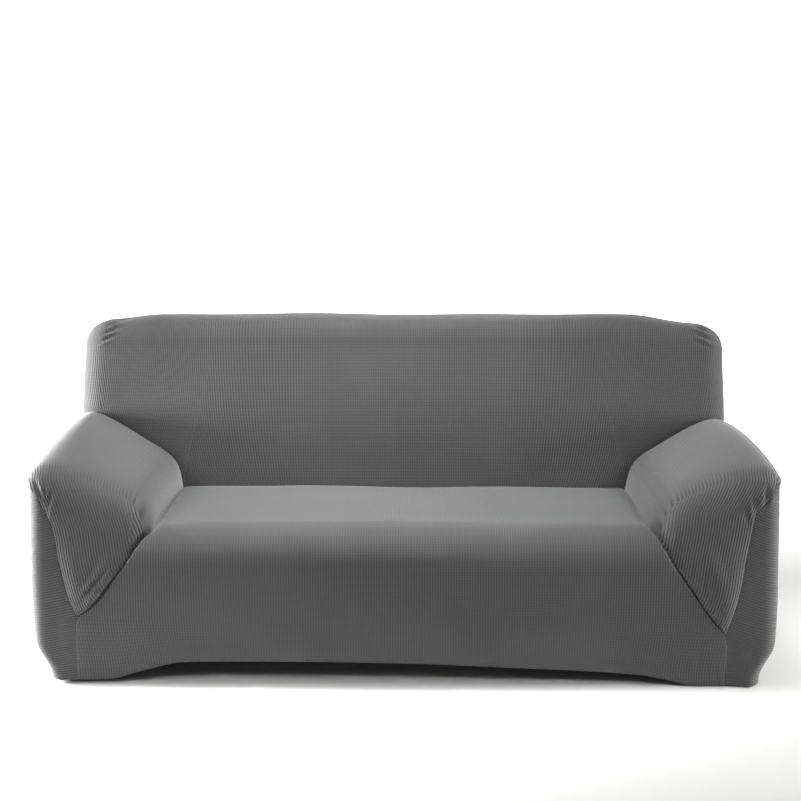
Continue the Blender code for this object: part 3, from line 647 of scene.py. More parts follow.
def seat_point(row, u):
    """A point of the seat and front panel: u runs from -1 at the left seam to 1 at the right."""
    left = apron_seam(-1, row)
    right = apron_seam(1, row)
    if u in (-1, 1):
        return left if u < 0 else right
    if abs(u) > EDGE_U:
        side, seam = (1, right) if u > 0 else (-1, left)
        return rolled(seam, seat_point(row, side * EDGE_U), (1 - abs(u)) / (1 - EDGE_U))
    share = (u + 1) / 2
    x = lerp(left[0], right[0], share)
    middle = 1 - u * u
    if row <= 3:
        y, z = seat_section(row)
        turn = max(row - 2, 0) * pi / 2
        swell = lerp(SEAT_CROWN, FRONT_BULGE, max(row - 2, 0)) * middle
        swell *= min(max(row - SEAT_CROWN_FROM, 0), 1)
        return np.array((x, y - swell * sin(turn), z + swell * cos(turn)))
    tip = lerp(TIP_Z[-1], TIP_Z[1], share)
    z = lerp(FRONT_TOP_Z, tip, row - 3) if row <= 4 else lerp(tip, hem_z(x), row - 4)
    bulge = FRONT_BULGE * middle * ease(z / FRONT_BULGE_FULL_Z)
    return np.array((x, front_y(z) - bulge, z))


def arm_point(side, row, across):
    """A point of an arm panel, from the back along its top and down its front to the tip."""
    if across == 0:
        return apron_seam(side, row)
    if across == 1:
        return rim_seam(side, row)
    if row == 0:
        return arm_back_seam(side, across)
    if across < ARM_FOOT:
        return lerp(apron_seam(side, row), arm_point(side, row, ARM_FOOT), across / ARM_FOOT)
    x_back, y_back, z_back = arm_back_surface(side, across)
    round_back = past_rim(across) * pi / 2
    lip_x = x_back + ARM_LIP * sin(round_back)
    start = np.array((side * lip_x, y_back - ARM_LIP * cos(round_back), z_back))
    if row < 1:
        return lerp(arm_back_seam(side, across), start, row)
    inner = 1 - ease(across / ARM_INNER_SHARE)
    radius = lerp(SEAT_ROUND, ARM_ROUND, ease(past_rim(across)))
    x_front = arm_table("x_front", across)
    z_front = arm_table("z_front", across)
    if row <= 2:
        end = np.array((side * x_front, FRONT_Y + radius, z_front))
        bow = ARM_TOP_BOW * sin((row - 1) * pi) * ease(across / ARM_MIDDLE)
        return lerp(start, end, row - 1) + np.array((0, 0, bow))
    turn = (min(row, 3) - 2) * pi / 2
    rim_x = arm_table("x_front", 1.0)
    inset = rim_x - seam_x(SIDE_SEAM, side, arm_table("z_front", 1.0) - ARM_ROUND)
    inset *= ease((across - ARM_MIDDLE) / (1 - ARM_MIDDLE))
    x_face = lerp(x_front, seam_x(APRON_SEAM, side, FRONT_TOP_Z), inner) - inset
    x = lerp(x_front, x_face, ease(row - 2))
    y = FRONT_Y + radius * (1 - sin(turn))
    top = np.array((side * x, y, z_front - radius * (1 - cos(turn))))
    if row <= 3:
        return top
    crest_offset = top - lerp(apron_seam(side, 3.0), rim_seam(side, 3.0), across)
    down = row - 3
    point = lerp(apron_seam(side, row), rim_seam(side, row), across) + crest_offset * (1 - down)
    puff = ARM_FRONT_PUFF * half_ease(sin(pi * across))
    puff *= min(down / ARM_PUFF_FULL, 1) * ease((1 - down) / ARM_PUFF_FADE)
    point[1] = front_y(point[2]) - puff
    return point


def side_path(side, z, edge):
    """The level line that a side panel follows at a height, from its front seam to the rear."""
    corner_x = HALF_WIDTH - CORNER_ROUND
    corner_y = FRONT_Y + CORNER_ROUND
    reach = (abs(edge[0]) - corner_x) / CORNER_ROUND
    turn_from = asin(min(max(reach, 0), 1))
    line = [edge]
    for i in range(1, CORNER_STEPS + 1):
        turn = lerp(turn_from, pi / 2, i / CORNER_STEPS)
        x = corner_x + CORNER_ROUND * sin(turn)
        line.append(np.array((side * x, corner_y - CORNER_ROUND * cos(turn), z)))
    line.append(np.array((side * (HALF_WIDTH - SIDE_MIDDLE_IN), SIDE_MIDDLE_Y, z)))
    line.append(np.array((side * (HALF_WIDTH - SIDE_REAR_IN), REAR_Y - SIDE_REAR_RUN, z)))
    line.append(np.array((side * (BACK_HALF_LOW[side] + BACK_ROUND - REAR_DROP), REAR_Y, z)))
    pull = SIDE_PULL_IN[side] * ease((SIDE_PULL_HEIGHT - z) / SIDE_PULL_HEIGHT)
    pull -= SIDE_FLARE * ease((arm_table("z_front", 1.0) - z) / SIDE_FLARE_HEIGHT)
    for point in line[1:]:
        out = (abs(point[0]) - SIDE_PULL_FROM) / (SIDE_PULL_FULL - SIDE_PULL_FROM)
        point[0] -= side * pull * ease(out)
    return line


def along(line, share):
    """The point at a share of a polyline's length."""
    steps = [float(np.linalg.norm(b - a)) for a, b in zip(line, line[1:])]
    target = share * sum(steps)
    for (a, b), step in zip(zip(line, line[1:]), steps):
        if target <= step or b is line[-1]:
            return lerp(a, b, min(target / step, 1.0))
        target -= step


def side_point(side, row, top, share, foot_share):
    """A point of a side panel under a point of its top edge, at a share of the level line."""
    seam = apron_seam(side, row) if row > 4 else rim_seam(side, row)
    if share == 0:
        return seam
    hem = lerp(HEM_LOW[side], 0, share) + SIDE_HEM_ARCH * sin(pi * share)
    down = min(row - 3, 1)
    share = lerp(share, foot_share, ease(down * SIDE_COLUMNS_SETTLE))
    z = lerp(top[2], TIP_Z[side], down)
    if row > 4:
        z = lerp(TIP_Z[side], hem, row - 4)
    point = along(side_path(side, z, seam), share)
    point[2] = z
    return point


def ring(step):
    """(outward, backward) from the inside back's face edge: round the edge, then over the strip."""
    if step <= RIM_STEPS:
        turn = step / RIM_STEPS * pi / 2
        return BACK_ROUND * sin(turn), BACK_ROUND * (1 - cos(turn))
    share = (step - RIM_STEPS) / STRIP_STEPS
    return BACK_ROUND - REAR_DROP * ease((share - REAR_DROP_FROM) / (1 - REAR_DROP_FROM)), BACK_ROUND


def ring_point(x, z, direction, step, side=1):
    """A point beyond the face edge point (x, z), outward in a direction of the X-Z plane."""
    out, back = ring(step)
    start = back_y(z)
    y = start + back
    if step > RIM_STEPS:
        y = lerp(y, REAR_Y, (step - RIM_STEPS) / STRIP_STEPS)
    return np.array((side * (x + out * cos(direction)), y, z + out * sin(direction)))


def droop(x):
    side = -1 if x < 0 else 1
    start = CORNER_DROOP_FROM[side]
    return CORNER_DROOP[side] * ease((abs(x) - start) / (BACK_HALF_TOP[side] - start))


def back_face_point(share, foot, lip, x_top):
    """A point of the inside back's face, above a foot on its lower seam and a lip over that."""
    if share <= BACK_FOOT:
        return lerp(foot, lip, share / BACK_FOOT)
    up = (share - BACK_FOOT) / (1 - BACK_FOOT)
    z = lerp(lip[2], BACK_RING_Z - droop(x_top), up)
    x = lerp(lip[0], x_top, half_ease(up))
    puff = BACK_PUFF * sin(pi * min(up, 1)) * (1 - (x / BACK_HALF_LOW[-1]) ** 2)
    return np.array((x, back_y(z) - puff, z))


def back_side_point(side, step, share, foot, lip):
    """A point of the inside back's rounded side and strip, above a foot on its lower seam."""
    if share == 0:
        return foot
    up = (share - BACK_FOOT) / (1 - BACK_FOOT)
    z = lerp(lip[2], BACK_RING_Z - droop(side * BACK_HALF_TOP[side]), up)
    x = lerp(BACK_HALF_LOW[side], BACK_HALF_TOP[side], half_ease(up))
    return ring_point(x, z, 0.0, step, side)


def back_corner_point(side, step_out, step_up):
    """A point of a top corner, where the rings turn from the side over to the top."""
    step = max(step_out, step_up)
    corner_x = side * BACK_HALF_TOP[side]
    z = BACK_RING_Z - droop(corner_x)
    if step == 0:
        return np.array((corner_x, back_y(z), z))
    direction = pi / 4 * (step_up / step if step_out >= step_up else 2 - step_out / step)
    return ring_point(BACK_HALF_TOP[side], z, direction, step, side)


def back_top_point(x, step):
    z = BACK_RING_Z - droop(x)
    return ring_point(x, z, pi / 2, step)


# ---- dense grids, each with its place in the cloth: across the ribs and along them, in metres ----


def spread(start, end, steps):
    """Stations after a start, up to and with an end."""
    return tuple(start + (end - start) * (i + 1) / steps for i in range(steps))


ROWS_TO_TIP = (0.0,) + spread(0, 1, TUCK_STEPS) + spread(1, 2, SEAT_ROWS) + spread(2, 3, ROUND_ROWS)
ROWS_TO_TIP += spread(3, 4, FRONT_ROWS)
ROWS_TO_HEM = ROWS_TO_TIP + spread(4, 5, HEM_ROWS)
SEAT_US = (-1.0,) + spread(-1, -EDGE_U, LIP_STEPS) + spread(-EDGE_U, EDGE_U, SEAT_COLUMNS)
SEAT_US += spread(EDGE_U, 1, LIP_STEPS)
ARM_ACROSS = (0.0,) + ARM_FOOT_SHARES + spread(ARM_FOOT, ARM_RIM, ARM_COLUMNS)
ARM_ACROSS += spread(ARM_RIM, 1, RIM_STEPS)
BACK_SHARES = (0.0,) + spread(0, BACK_FOOT, BACK_FOOT_STEPS)
BACK_SHARES += spread(BACK_FOOT, BACK_LOW_SHARE, BACK_LOW_ROWS)
BACK_SHARES += spread(BACK_LOW_SHARE, 1, BACK_HIGH_ROWS)
STRIP_SHARES = spread(0, 1, STRIP_STEPS)
RING_STEPS = RIM_STEPS + STRIP_STEPS


def cloth_grid(rows):
    return np.array(rows, dtype=float)


def run_lengths(grid, axis):
    """How far each point lies along its row (axis 1) or its column (axis 0), over the cloth."""
    steps = np.linalg.norm(np.diff(grid, axis=axis), axis=2)
    start = np.zeros_like(np.take(steps, [0], axis=axis))
    return np.concatenate((start, np.cumsum(steps, axis=axis)), axis=axis)


def bump_at(distance, middle, width):
    return np.exp(-((distance - middle) / width) ** 2)


def eased(share):
    share = np.clip(share, 0, 1)
    return share * share * (3 - 2 * share)


def within(stretch, at):
    """0 outside a stretch and 1 well inside it."""
    return eased((at - stretch.start) / stretch.rise) * eased((stretch.end - at) / stretch.fall)


def sunk_beside_seam(from_seam, rows):
    """How far the cloth beside an arm's inner seam sinks in, from the tuck to the arm's tip."""
    depth = lerp(SEAM_SINK_ON_TOP, 1, eased(rows - 2)) * within(SUNK_ROWS, rows)
    return SEAM_SINK * bump_at(from_seam, 0.0, SEAM_SINK_WIDTH) * depth


def seat_panel():
    grid = cloth_grid([[seat_point(row, u) for u in SEAT_US] for row in ROWS_TO_HEM])
    x, z = grid[..., 0], grid[..., 2]
    middle = grid.shape[1] // 2
    along_section = run_lengths(grid, 0)[:, middle]
    low = eased((CORNER_LEAN_Z - z) / CORNER_LEAN_Z) * CORNER_LEAN_Z
    near_end = eased((np.abs(x) - CORNER_LEAN_FROM) / CORNER_LEAN_RUN)
    across = x + np.sign(x) * CORNER_LEAN * low * near_end
    rows = np.array(ROWS_TO_HEM)[:, None]
    depth = lerp(SEAT_RIBS, APRON_END_RIBS, eased(rows - 2) * near_end)
    from_left = run_lengths(grid, 1)
    from_seam = np.minimum(from_left, from_left[:, -1:] - from_left)
    lift = -sunk_beside_seam(from_seam, rows)
    return grid, across, np.broadcast_to(along_section[:, None], x.shape), depth, lift


def relaxed(grid, freedom):
    """Evens out the cloth inside its edges, as far as each point is free to move."""
    for _ in range(ARM_RELAXING):
        around = (grid[:-2, 1:-1] + grid[2:, 1:-1] + grid[1:-1, :-2] + grid[1:-1, 2:]) / 4
        grid[1:-1, 1:-1] += (around - grid[1:-1, 1:-1]) * freedom[1:-1, 1:-1, None]
    return grid


def arm_panel(side):
    """The ribs run forward over the arm's top and down its front, turning towards its outer seam."""
    grid = cloth_grid([[arm_point(side, row, a) for a in ARM_ACROSS] for row in ROWS_TO_TIP])
    rows, columns = np.array(ROWS_TO_TIP)[:, None], np.array(ARM_ACROSS)
    grid = relaxed(grid, within(RELAXED_ROWS, rows) * within(RELAXED_ACROSS, columns))
    crest = bisect_right(ROWS_TO_TIP, ARM_CREST)
    seam = np.array([[seam_x(SIDE_SEAM, side, z) for z in row] for row in grid[..., 2]])
    straight = seam_x(SIDE_SEAM, side, ARM_LEAN_Z)
    seam = np.where(grid[..., 2] > ARM_LEAN_Z, straight + ARM_LEAN_SHARE * (seam - straight), seam)
    across = (seam - np.abs(grid[..., 0])) * cos(ARM_RIB_LEAN)
    across[:crest] = across[crest]
    depth = lerp(ARM_TOP_RIBS, ARM_FRONT_RIBS, eased((rows - ARM_FRONT_FROM) / ARM_FRONT_RUN))
    depth = np.broadcast_to(depth, across.shape)
    from_foot = run_lengths(grid, 1)
    from_rim = from_foot[:, -1:] - from_foot
    roll = ARM_ROLL * bump_at(from_foot, 0.0, ARM_ROLL_WIDTH) * within(ROLLED_ROWS, rows)
    ridges = SEAM_RIDGE[side] * bump_at(from_foot, SEAM_RIDGE_IN, SEAM_RIDGE_WIDTH)
    ridges += RIM_RIDGE * bump_at(from_rim, RIM_RIDGE_IN, RIM_RIDGE_WIDTH)
    lift = ridges * within(RIDGED_ROWS, rows) - roll - sunk_beside_seam(from_foot, rows)
    return grid, side * across, run_lengths(grid, 0), depth, lift


def side_panel(side):
    """Columns from the arm's front corner to the rear seam; rows from its top edge to its hem."""
    rows_up = [row for row in reversed(ROWS_TO_TIP) if row <= 3]
    top = [rim_seam(side, row) for row in rows_up]
    top += [strip_seam(side, share) for share in STRIP_SHARES]
    stations = [3 - row for row in rows_up] + [3 + share for share in STRIP_SHARES]
    feet = [read_table(SIDE_COLUMNS, "station", "foot", station) for station in stations]
    lengths = run_lengths(cloth_grid([top]), 1)[0]
    columns = list(zip(top, lengths / lengths[-1], feet))
    rows = [top]
    for row in ROWS_TO_HEM:
        if row > 3:
            rows.append([side_point(side, row, *column) for column in columns])
    grid = cloth_grid(rows)
    along_level = run_lengths(grid, 1)
    run = SIDE_LEAN_RUN[side]
    lean = SIDE_RIB_LEAN[side] * run * (1 - np.exp(-along_level / run))
    above = eased(grid[..., 2] / SIDE_LEAN_Z)
    depth = np.full(above.shape, SIDE_RIBS)
    return grid, grid[..., 2] + lean * above, along_level, depth, np.zeros(above.shape)


def mirrored(build):
    """What a function builds for the left side, outwards to inwards, and for the right side."""
    return list(reversed(build(-1))), build(1)


def back_panel():
    """Columns from the left rear seam, over the face, to the right one; rows upwards."""
    arm_left, arm_right = mirrored(lambda side: [arm_back_seam(side, a) for a in ARM_ACROSS])
    lips_left, lips_right = mirrored(lambda side: [arm_back_lip(side, a) for a in ARM_ACROSS])
    strip_left, strip_right = mirrored(lambda side: [strip_seam(side, s) for s in STRIP_SHARES])
    strip_lift = np.array((0, 0, BACK_GROOVE))
    seat = [seat_point(0.0, u) for u in SEAT_US[1:-1]]
    seat_lips = [point + np.array((0, 0, TUCK)) for point in seat]
    feet = strip_left + arm_left + seat + arm_right + strip_right
    lips = [p + strip_lift for p in strip_left] + lips_left + seat_lips
    lips += lips_right + [p + strip_lift for p in strip_right]
    face = range(RING_STEPS, len(feet) - RING_STEPS)
    tops = np.linspace(-BACK_HALF_TOP[-1], BACK_HALF_TOP[1], len(face))
    left_steps = list(range(RING_STEPS, 0, -1))
    right_steps = left_steps[::-1]
    right_from = len(feet) - RING_STEPS
    rows = []
    for share in BACK_SHARES:
        row = [back_side_point(-1, n, share, feet[k], lips[k]) for k, n in enumerate(left_steps)]
        row += [back_face_point(share, feet[k], lips[k], x) for k, x in zip(face, tops)]
        for k, n in enumerate(right_steps, right_from):
            row.append(back_side_point(1, n, share, feet[k], lips[k]))
        rows.append(row)
    for up in range(1, RING_STEPS + 1):
        row = [back_corner_point(-1, n, up) for n in left_steps]
        row += [back_top_point(x, up) for x in tops]
        row += [back_corner_point(1, n, up) for n in right_steps]
        rows.append(row)
    grid = cloth_grid(rows)
    return (grid,) + back_ribs(grid, left_steps, right_steps)


def back_ribs(grid, left_steps, right_steps):
    """The ribs run up the back's face and over its top, and fan out a little above the arms."""
    round_length = BACK_ROUND * pi / 2
    strip_length = REAR_Y - BACK_Y - BACK_ROUND - BACK_LEAN * (BACK_RING_Z - SEAT_Z)

    def ring_length(step):
        over_strip = max(step - RIM_STEPS, 0) / STRIP_STEPS
        return round_length * min(step / RIM_STEPS, 1) + strip_length * over_strip

    face_rows = len(BACK_SHARES)
    height, x = grid[..., 2].copy(), grid[..., 0].copy()
    height[face_rows:] = height[face_rows - 1]
    x[face_rows:] = x[face_rows - 1]
    first, last = len(left_steps), grid.shape[1] - len(right_steps)
    x[:, :first] = x[:, first:first + 1]
    x[:, last:] = x[:, last - 1:last]
    out = np.abs(x)
    risen = 1 - np.exp(-(height - height[0]) / BACK_FAN_HEIGHT)
    fan = eased((out - BACK_FAN_FROM) / BACK_FAN_RUN)
    fan -= BACK_FAN_END * eased((out - BACK_FAN_FALL) / (BACK_HALF_TOP[-1] - BACK_FAN_FALL))
    across = x - np.sign(x) * BACK_FAN * risen * fan
    across[:, :first] -= np.array([ring_length(n) for n in left_steps])
    across[:, last:] += np.array([ring_length(n) for n in right_steps])
    over = [0] * face_rows + [ring_length(n) for n in range(1, RING_STEPS + 1)]
    along_rib = height + np.array(over)[:, None]
    depth = lerp(BACK_RIBS, BACK_END_RIBS, eased((out - BACK_FAN_FROM) / BACK_FAN_RUN))
    return across / BACK_STRETCH[0], along_rib / BACK_STRETCH[1], depth, np.zeros(depth.shape)


def grid_faces(rows, columns, flip):
    faces = []
    for i in range(rows - 1):
        for j in range(columns - 1):
            a = i * columns + j
            face = (a, a + 1, a + columns + 1, a + columns)
            faces.append(face[::-1] if flip else face)
    return faces


def rear_panel(sides, back):
    """The rear panel's points and faces: coarse cells that take in every point of its seams."""
    left = [row[-1] for row in reversed(sides[-1])] + [row[0] for row in back[1:]]
    right = [row[-1] for row in reversed(sides[1])] + [row[-1] for row in back[1:]]
    top = back[-1]
    bottom = []
    for i in range(len(top)):
        share = i / (len(top) - 1)
        arch = REAR_HEM_ARCH * min(1.0, REAR_ARCH_RISE * share * (1 - share))
        point = lerp(left[0], right[0], share)
        bottom.append(point + np.array((0, 0, arch * (0 < i < len(top) - 1))))
    last_i, last_j = len(left) - 1, len(top) - 1

    def place(i, j):
        if j in (0, last_j):
            return left[i] if j == 0 else right[i]
        if i in (0, last_i):
            return bottom[j] if i == 0 else top[j]
        s, t = j / last_j, i / last_i
        flat = lerp(left[i], right[i], s) + lerp(bottom[j], top[j], t)
        corners = lerp(lerp(left[0], right[0], s), lerp(left[-1], right[-1], s), t)
        point = flat - corners
        point[1] = REAR_Y + REAR_BULGE
        return point

    points, index = [], {}

    def at(i, j):
        if (i, j) not in index:
            index[i, j] = len(points)
            points.append(place(i, j))
        return index[i, j]

    faces = []
    for i in range(last_i):
        for j in range(last_j):
            if i in (0, last_i - 1) or j in (0, last_j - 1):
                faces.append((at(i, j), at(i + 1, j), at(i + 1, j + 1), at(i, j + 1)))
    columns = sorted({*range(1, last_j - 1, REAR_COLUMN_STEP), last_j - 1})
    rows = sorted({*range(1, last_i - 1, REAR_ROW_STEP), last_i - 1})
    for i, i_next in zip(rows, rows[1:]):
        for j, j_next in zip(columns, columns[1:]):
            loop = [(i, k) for k in range(j, j_next + 1) if i == 1 or k in (j, j_next)]
            loop += [(k, j_next) for k in range(i + 1, i_next) if j_next == columns[-1]]
            top_row = range(j_next, j - 1, -1)
            loop += [(i_next, k) for k in top_row if i_next == rows[-1] or k in (j, j_next)]
            loop += [(k, j) for k in range(i_next - 1, i, -1) if j == 1]
            faces.append(tuple(at(*cell) for cell in reversed(loop)))
    points = cloth_grid(points)
    depth = np.full(len(points), REAR_RIBS)
    return points, faces, points[:, 0], points[:, 2], depth, np.zeros(len(points))


# ---- the panels sewn together, smoothed, folded and gathered ----


class Cover:
    """Every panel's points in one list, where panels share their seam points."""

    def __init__(self):
        self.points = []
        self.index = {}
        self.panels = {}
        self.lifts = []

    def add(self, name, points, faces, across, along_rib, depth, lift):
        ids = []
        for point, height in zip(points, lift):
            key = tuple(np.round(point, 6))
            if key not in self.index:
                self.index[key] = len(self.points)
                self.points.append(point)
                self.lifts.append(height)
            ids.append(self.index[key])
        kept = []
        for face in faces:
            loop = [corner for k, corner in enumerate(face) if ids[corner] != ids[face[k - 1]]]
            if len(loop) > 2:
                kept.append(loop)
        self.panels[name] = (np.array(ids), kept, np.stack((across, along_rib, depth), axis=-1))

    def add_grid(self, name, flip, grid, *knit):
        faces = grid_faces(grid.shape[0], grid.shape[1], flip)
        self.add(name, grid.reshape(-1, 3), faces, *(values.ravel() for values in knit))

    def faces(self):
        """Every face as rows of point numbers, grouped by how many corners it has."""
        groups = {}
        for ids, faces, _ in self.panels.values():
            for face in faces:
                groups.setdefault(len(face), []).append(ids[face])
        return [np.array(group) for group in groups.values()]

    def points_of(self, names):
        """Whether each point belongs to one of the panels named."""
        found = np.zeros(len(self.points), dtype=bool)
        for name in names:
            found[self.panels[name][0]] = True
        return found

    def seam_points(self):
        """Whether each point lies on a panel's edge."""
        on_edge = np.zeros(len(self.points), dtype=bool)
        for ids, faces, _ in self.panels.values():
            for a, b in edge_loop([tuple(ids[face]) for face in faces]):
                on_edge[[a, b]] = True
        return on_edge


def edge_loop(faces):
    """A panel's open edges, as (start, end) pairs in the direction of their faces."""
    edges = {(a, b) for face in faces for a, b in zip(face, face[1:] + face[:1])}
    return [(a, b) for a, b in edges if (b, a) not in edges]


def normals_of(points, face_groups):
    """Unit normals at the points, and how much of each is lost where its faces turn away."""
    normals = np.zeros_like(points)
    angles = np.zeros(len(points))
    for faces in face_groups:
        loops = points[faces]
        after = np.roll(loops, -1, axis=1) - loops
        before = np.roll(loops, 1, axis=1) - loops
        facing = np.cross(loops, np.roll(loops, -1, axis=1)).sum(axis=1)
        facing /= np.linalg.norm(facing, axis=1, keepdims=True)
        cosines = (after * before).sum(axis=2)
        cosines /= np.linalg.norm(after, axis=2) * np.linalg.norm(before, axis=2)
        spans = np.arccos(np.clip(cosines, -1, 1))
        for corner in range(faces.shape[1]):
            np.add.at(normals, faces[:, corner], facing * spans[:, corner, None])
            np.add.at(angles, faces[:, corner], spans[:, corner])
    lengths = np.linalg.norm(normals, axis=1)
    return normals / lengths[:, None], lengths / angles


def neighbours(face_groups):
    """Every pair of points that share an edge."""
    pairs = []
    for faces in face_groups:
        pairs += [np.stack((faces[:, k], faces[:, k - 1]), axis=1) for k in range(faces.shape[1])]
    return np.unique(np.sort(np.concatenate(pairs), axis=1), axis=0)


def smoothed(points, face_groups, share, rounds):
    """The points eased in and out towards their neighbours, each by its own share."""
    pairs = neighbours(face_groups)
    count = np.bincount(pairs.ravel(), minlength=len(points))[:, None]
    for turn in range(rounds):
        if turn % NORMALS_EVERY == 0:
            normals, _ = normals_of(points, face_groups)
        total = np.stack([
            np.bincount(pairs[:, 0], points[pairs[:, 1], k], len(points))
            + np.bincount(pairs[:, 1], points[pairs[:, 0], k], len(points))
            for k in range(3)
        ], axis=1)
        off = ((total / count - points) * normals).sum(axis=1) * share
        points = points + normals * off[:, None]
    return points


def gathers_lift(points, gathers):
    """How far short folds lift the cloth: each is highest at its peak share and ends in nothing."""
    x, z = points[:, 0], points[:, 2]
    height = np.zeros(len(points))
    for fold in gathers:
        start_x, end_x = fold.side * fold.x1, fold.side * fold.x2
        run_x, run_z = end_x - start_x, fold.z2 - fold.z1
        share = ((x - start_x) * run_x + (z - fold.z1) * run_z) / (run_x ** 2 + run_z ** 2)
        near = np.clip(share, 0, 1)
        away = np.hypot(x - start_x - near * run_x, z - fold.z1 - near * run_z) / fold.width
        fade = eased(np.where(near < fold.peak, near / fold.peak, (1 - near) / (1 - fold.peak)))
        height += fold.height * np.exp(-away * away) * fade
    return height


def lift_of(points):
    """How far the folds, pleats and slow waves lift the cloth at every point of the cover."""
    x, y, z = points.T
    height = sum(w.height * np.sin(w.x * x + w.y * y + w.z * z + w.phase) for w in WAVES)
    front = y < FRONT_Y + FOLDS_REACH
    height = height + np.where(front, gathers_lift(points, FRONT_FOLDS + ARM_GATHERS), 0.0)
    corner = eased((z - PLEATS_FROM_Z) / PLEATS_FADE) * eased((PLEATS_TO_Y - y) / PLEATS_FADE)
    return height + corner * gathers_lift(points, BACK_PLEATS)


def drawn_in(points, normals, edges):
    """How a panel's edge points move back from the seam, along the cloth."""
    across = {}
    for a, b in edges:
        for corner in (a, b):
            direction = np.cross(normals[corner], points[b] - points[a])
            across.setdefault(corner, []).append(direction / np.linalg.norm(direction))
    moves = {}
    for corner, directions in across.items():
        move = np.sum(directions, axis=0)
        move /= np.linalg.norm(move)
        moves[corner] = move * SEAM_INSET / max(np.dot(move, directions[0]), LEAST_TURN)
    return moves


def put_in_scene(name, data):
    """A new object for a mesh, a lamp or a lens."""
    thing = bpy.data.objects.new(name, data)
    bpy.context.scene.collection.objects.link(thing)
    return thing


def make_sheet(name, cover, points, inner, normals, material):
    """One closed sheet: its outer skin, its inner skin and a wall round its edge.

    Each wall is split from its lower point number, so that two panels' walls along a seam match.
    """
    ids, faces, cloth = cover.panels[name]
    loops = [tuple(ids[face]) for face in faces]
    edges = edge_loop(loops)
    moves = drawn_in(points, normals, edges)
    used = sorted({corner for loop in loops for corner in loop})
    place = {corner: k for k, corner in enumerate(used)}
    shift = cloth_grid([moves.get(corner, (0, 0, 0)) for corner in used])
    count = len(used)
    skin = [tuple(place[corner] for corner in loop) for loop in loops]
    lining = [tuple(corner + count for corner in reversed(face)) for face in skin]
    wall = []
    for a, b in edges:
        p, q = place[a], place[b]
        if a < b:
            wall += [(q, p, q + count), (p, p + count, q + count)]
        else:
            wall += [(q, p, p + count), (q, p + count, q + count)]
    mesh = bpy.data.meshes.new(name + "_cloth")
    corners = np.concatenate((points[used] + shift, inner[used] + shift))
    mesh.from_pydata([tuple(p) for p in corners], [], skin + lining + wall)
    spread_of = {}
    for face in faces:
        for corner in face:
            spread_of[place[ids[corner]]] = cloth[corner]
    uv = mesh.uv_layers.new(name="cloth")
    vertex_of = np.empty(len(mesh.loops), dtype=int)
    mesh.loops.foreach_get("vertex_index", vertex_of)
    by_vertex = cloth_grid([spread_of[k % count] for k in range(2 * count)])
    uv.data.foreach_set("uv", by_vertex[vertex_of, :2].ravel())
    depth = mesh.attributes.new(name="rib_depth", type="FLOAT", domain="POINT")
    depth.data.foreach_set("value", by_vertex[:, 2])
    mesh.materials.append(material)
    mesh.shade_smooth()
    mesh.set_sharp_from_angle(angle=SHARP_EDGE)
    return put_in_scene(name + "_cloth", mesh)


def sew_cover():
    cover = Cover()
    sides = {side: side_panel(side) for side in (-1, 1)}
    back = back_panel()
    cover.add_grid("seat_and_front", True, *seat_panel())
    cover.add_grid("inside_back", False, *back)
    cover.add_grid("arm_left", False, *arm_panel(-1))
    cover.add_grid("arm_right", True, *arm_panel(1))
    cover.add_grid("side_left", False, *sides[-1])
    cover.add_grid("side_right", True, *sides[1])
    rear_sides = {side: sides[side][0] for side in sides}
    cover.add("outside_back", *rear_panel(rear_sides, back[0]))
    return cover


def fit_on_frame(points):
    """Centres the cover on the frame's box and stands its hem on the floor."""
    low, high = points.min(axis=0), points.max(axis=0)
    middle = (np.array(CAD_BOX[0]) + np.array(CAD_BOX[1])) / 2
    shift = middle - (low + high) / 2
    shift[2] = CAD_BOX[0][2] - low[2]
    return points + shift


def dress():
    """Builds every panel's sheet and hands it to the frame."""
    cover = sew_cover()
    groups = cover.faces()
    free = np.where(cover.seam_points(), 0.0, SMOOTHING)
    points = smoothed(cloth_grid(cover.points), groups, free, SMOOTHING_ROUNDS)
    soft = np.where(cover.points_of(SOFT_PANELS), free, 0.0)
    points = smoothed(points, groups, soft, SOFT_ROUNDS)
    normals, _ = normals_of(points, groups)
    above_hem = np.clip((points[:, 2] - LEVEL_HEM) / FULL_WAVES_ABOVE, 0.0, 1.0)
    lift = (lift_of(points) + np.array(cover.lifts)) * above_hem
    points = fit_on_frame(points + normals * lift[:, None])
    normals, facing = normals_of(points, groups)
    depth = CLOTH * np.minimum(1 / facing, MOST_MITRE)
    inner = points - normals * depth[:, None]
    knit = ribbed_knit("grey_ribbed_stretch_knit")
    for cut in CUTS:
        piece = make_sheet(cut.node, cover, points, inner, normals, knit)
        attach(piece, "root")
        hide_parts(cut.node)


# ---- the knit, the floor, the light and the camera ----


def paint(hex_colour):
    """A hex colour as the linear values that a shader works in."""
    parts = [int(hex_colour[i:i + 2], 16) / 255 for i in (1, 3, 5)]
    return tuple(c / 12.92 if c <= 0.04045 else ((c + 0.055) / 1.055) ** 2.4 for c in parts) + (1.0,)


def add_node(tree, kind, inputs=(), **settings):
    """A new node with its settings; each input takes a value or a link from a socket."""
    node = tree.nodes.new(kind)
    for name, value in settings.items():
        setattr(node, name, value)
    for name, value in dict(inputs).items():
        if isinstance(value, bpy.types.NodeSocket):
            tree.links.new(value, node.inputs[name])
        else:
            node.inputs[name].default_value = value
    return node


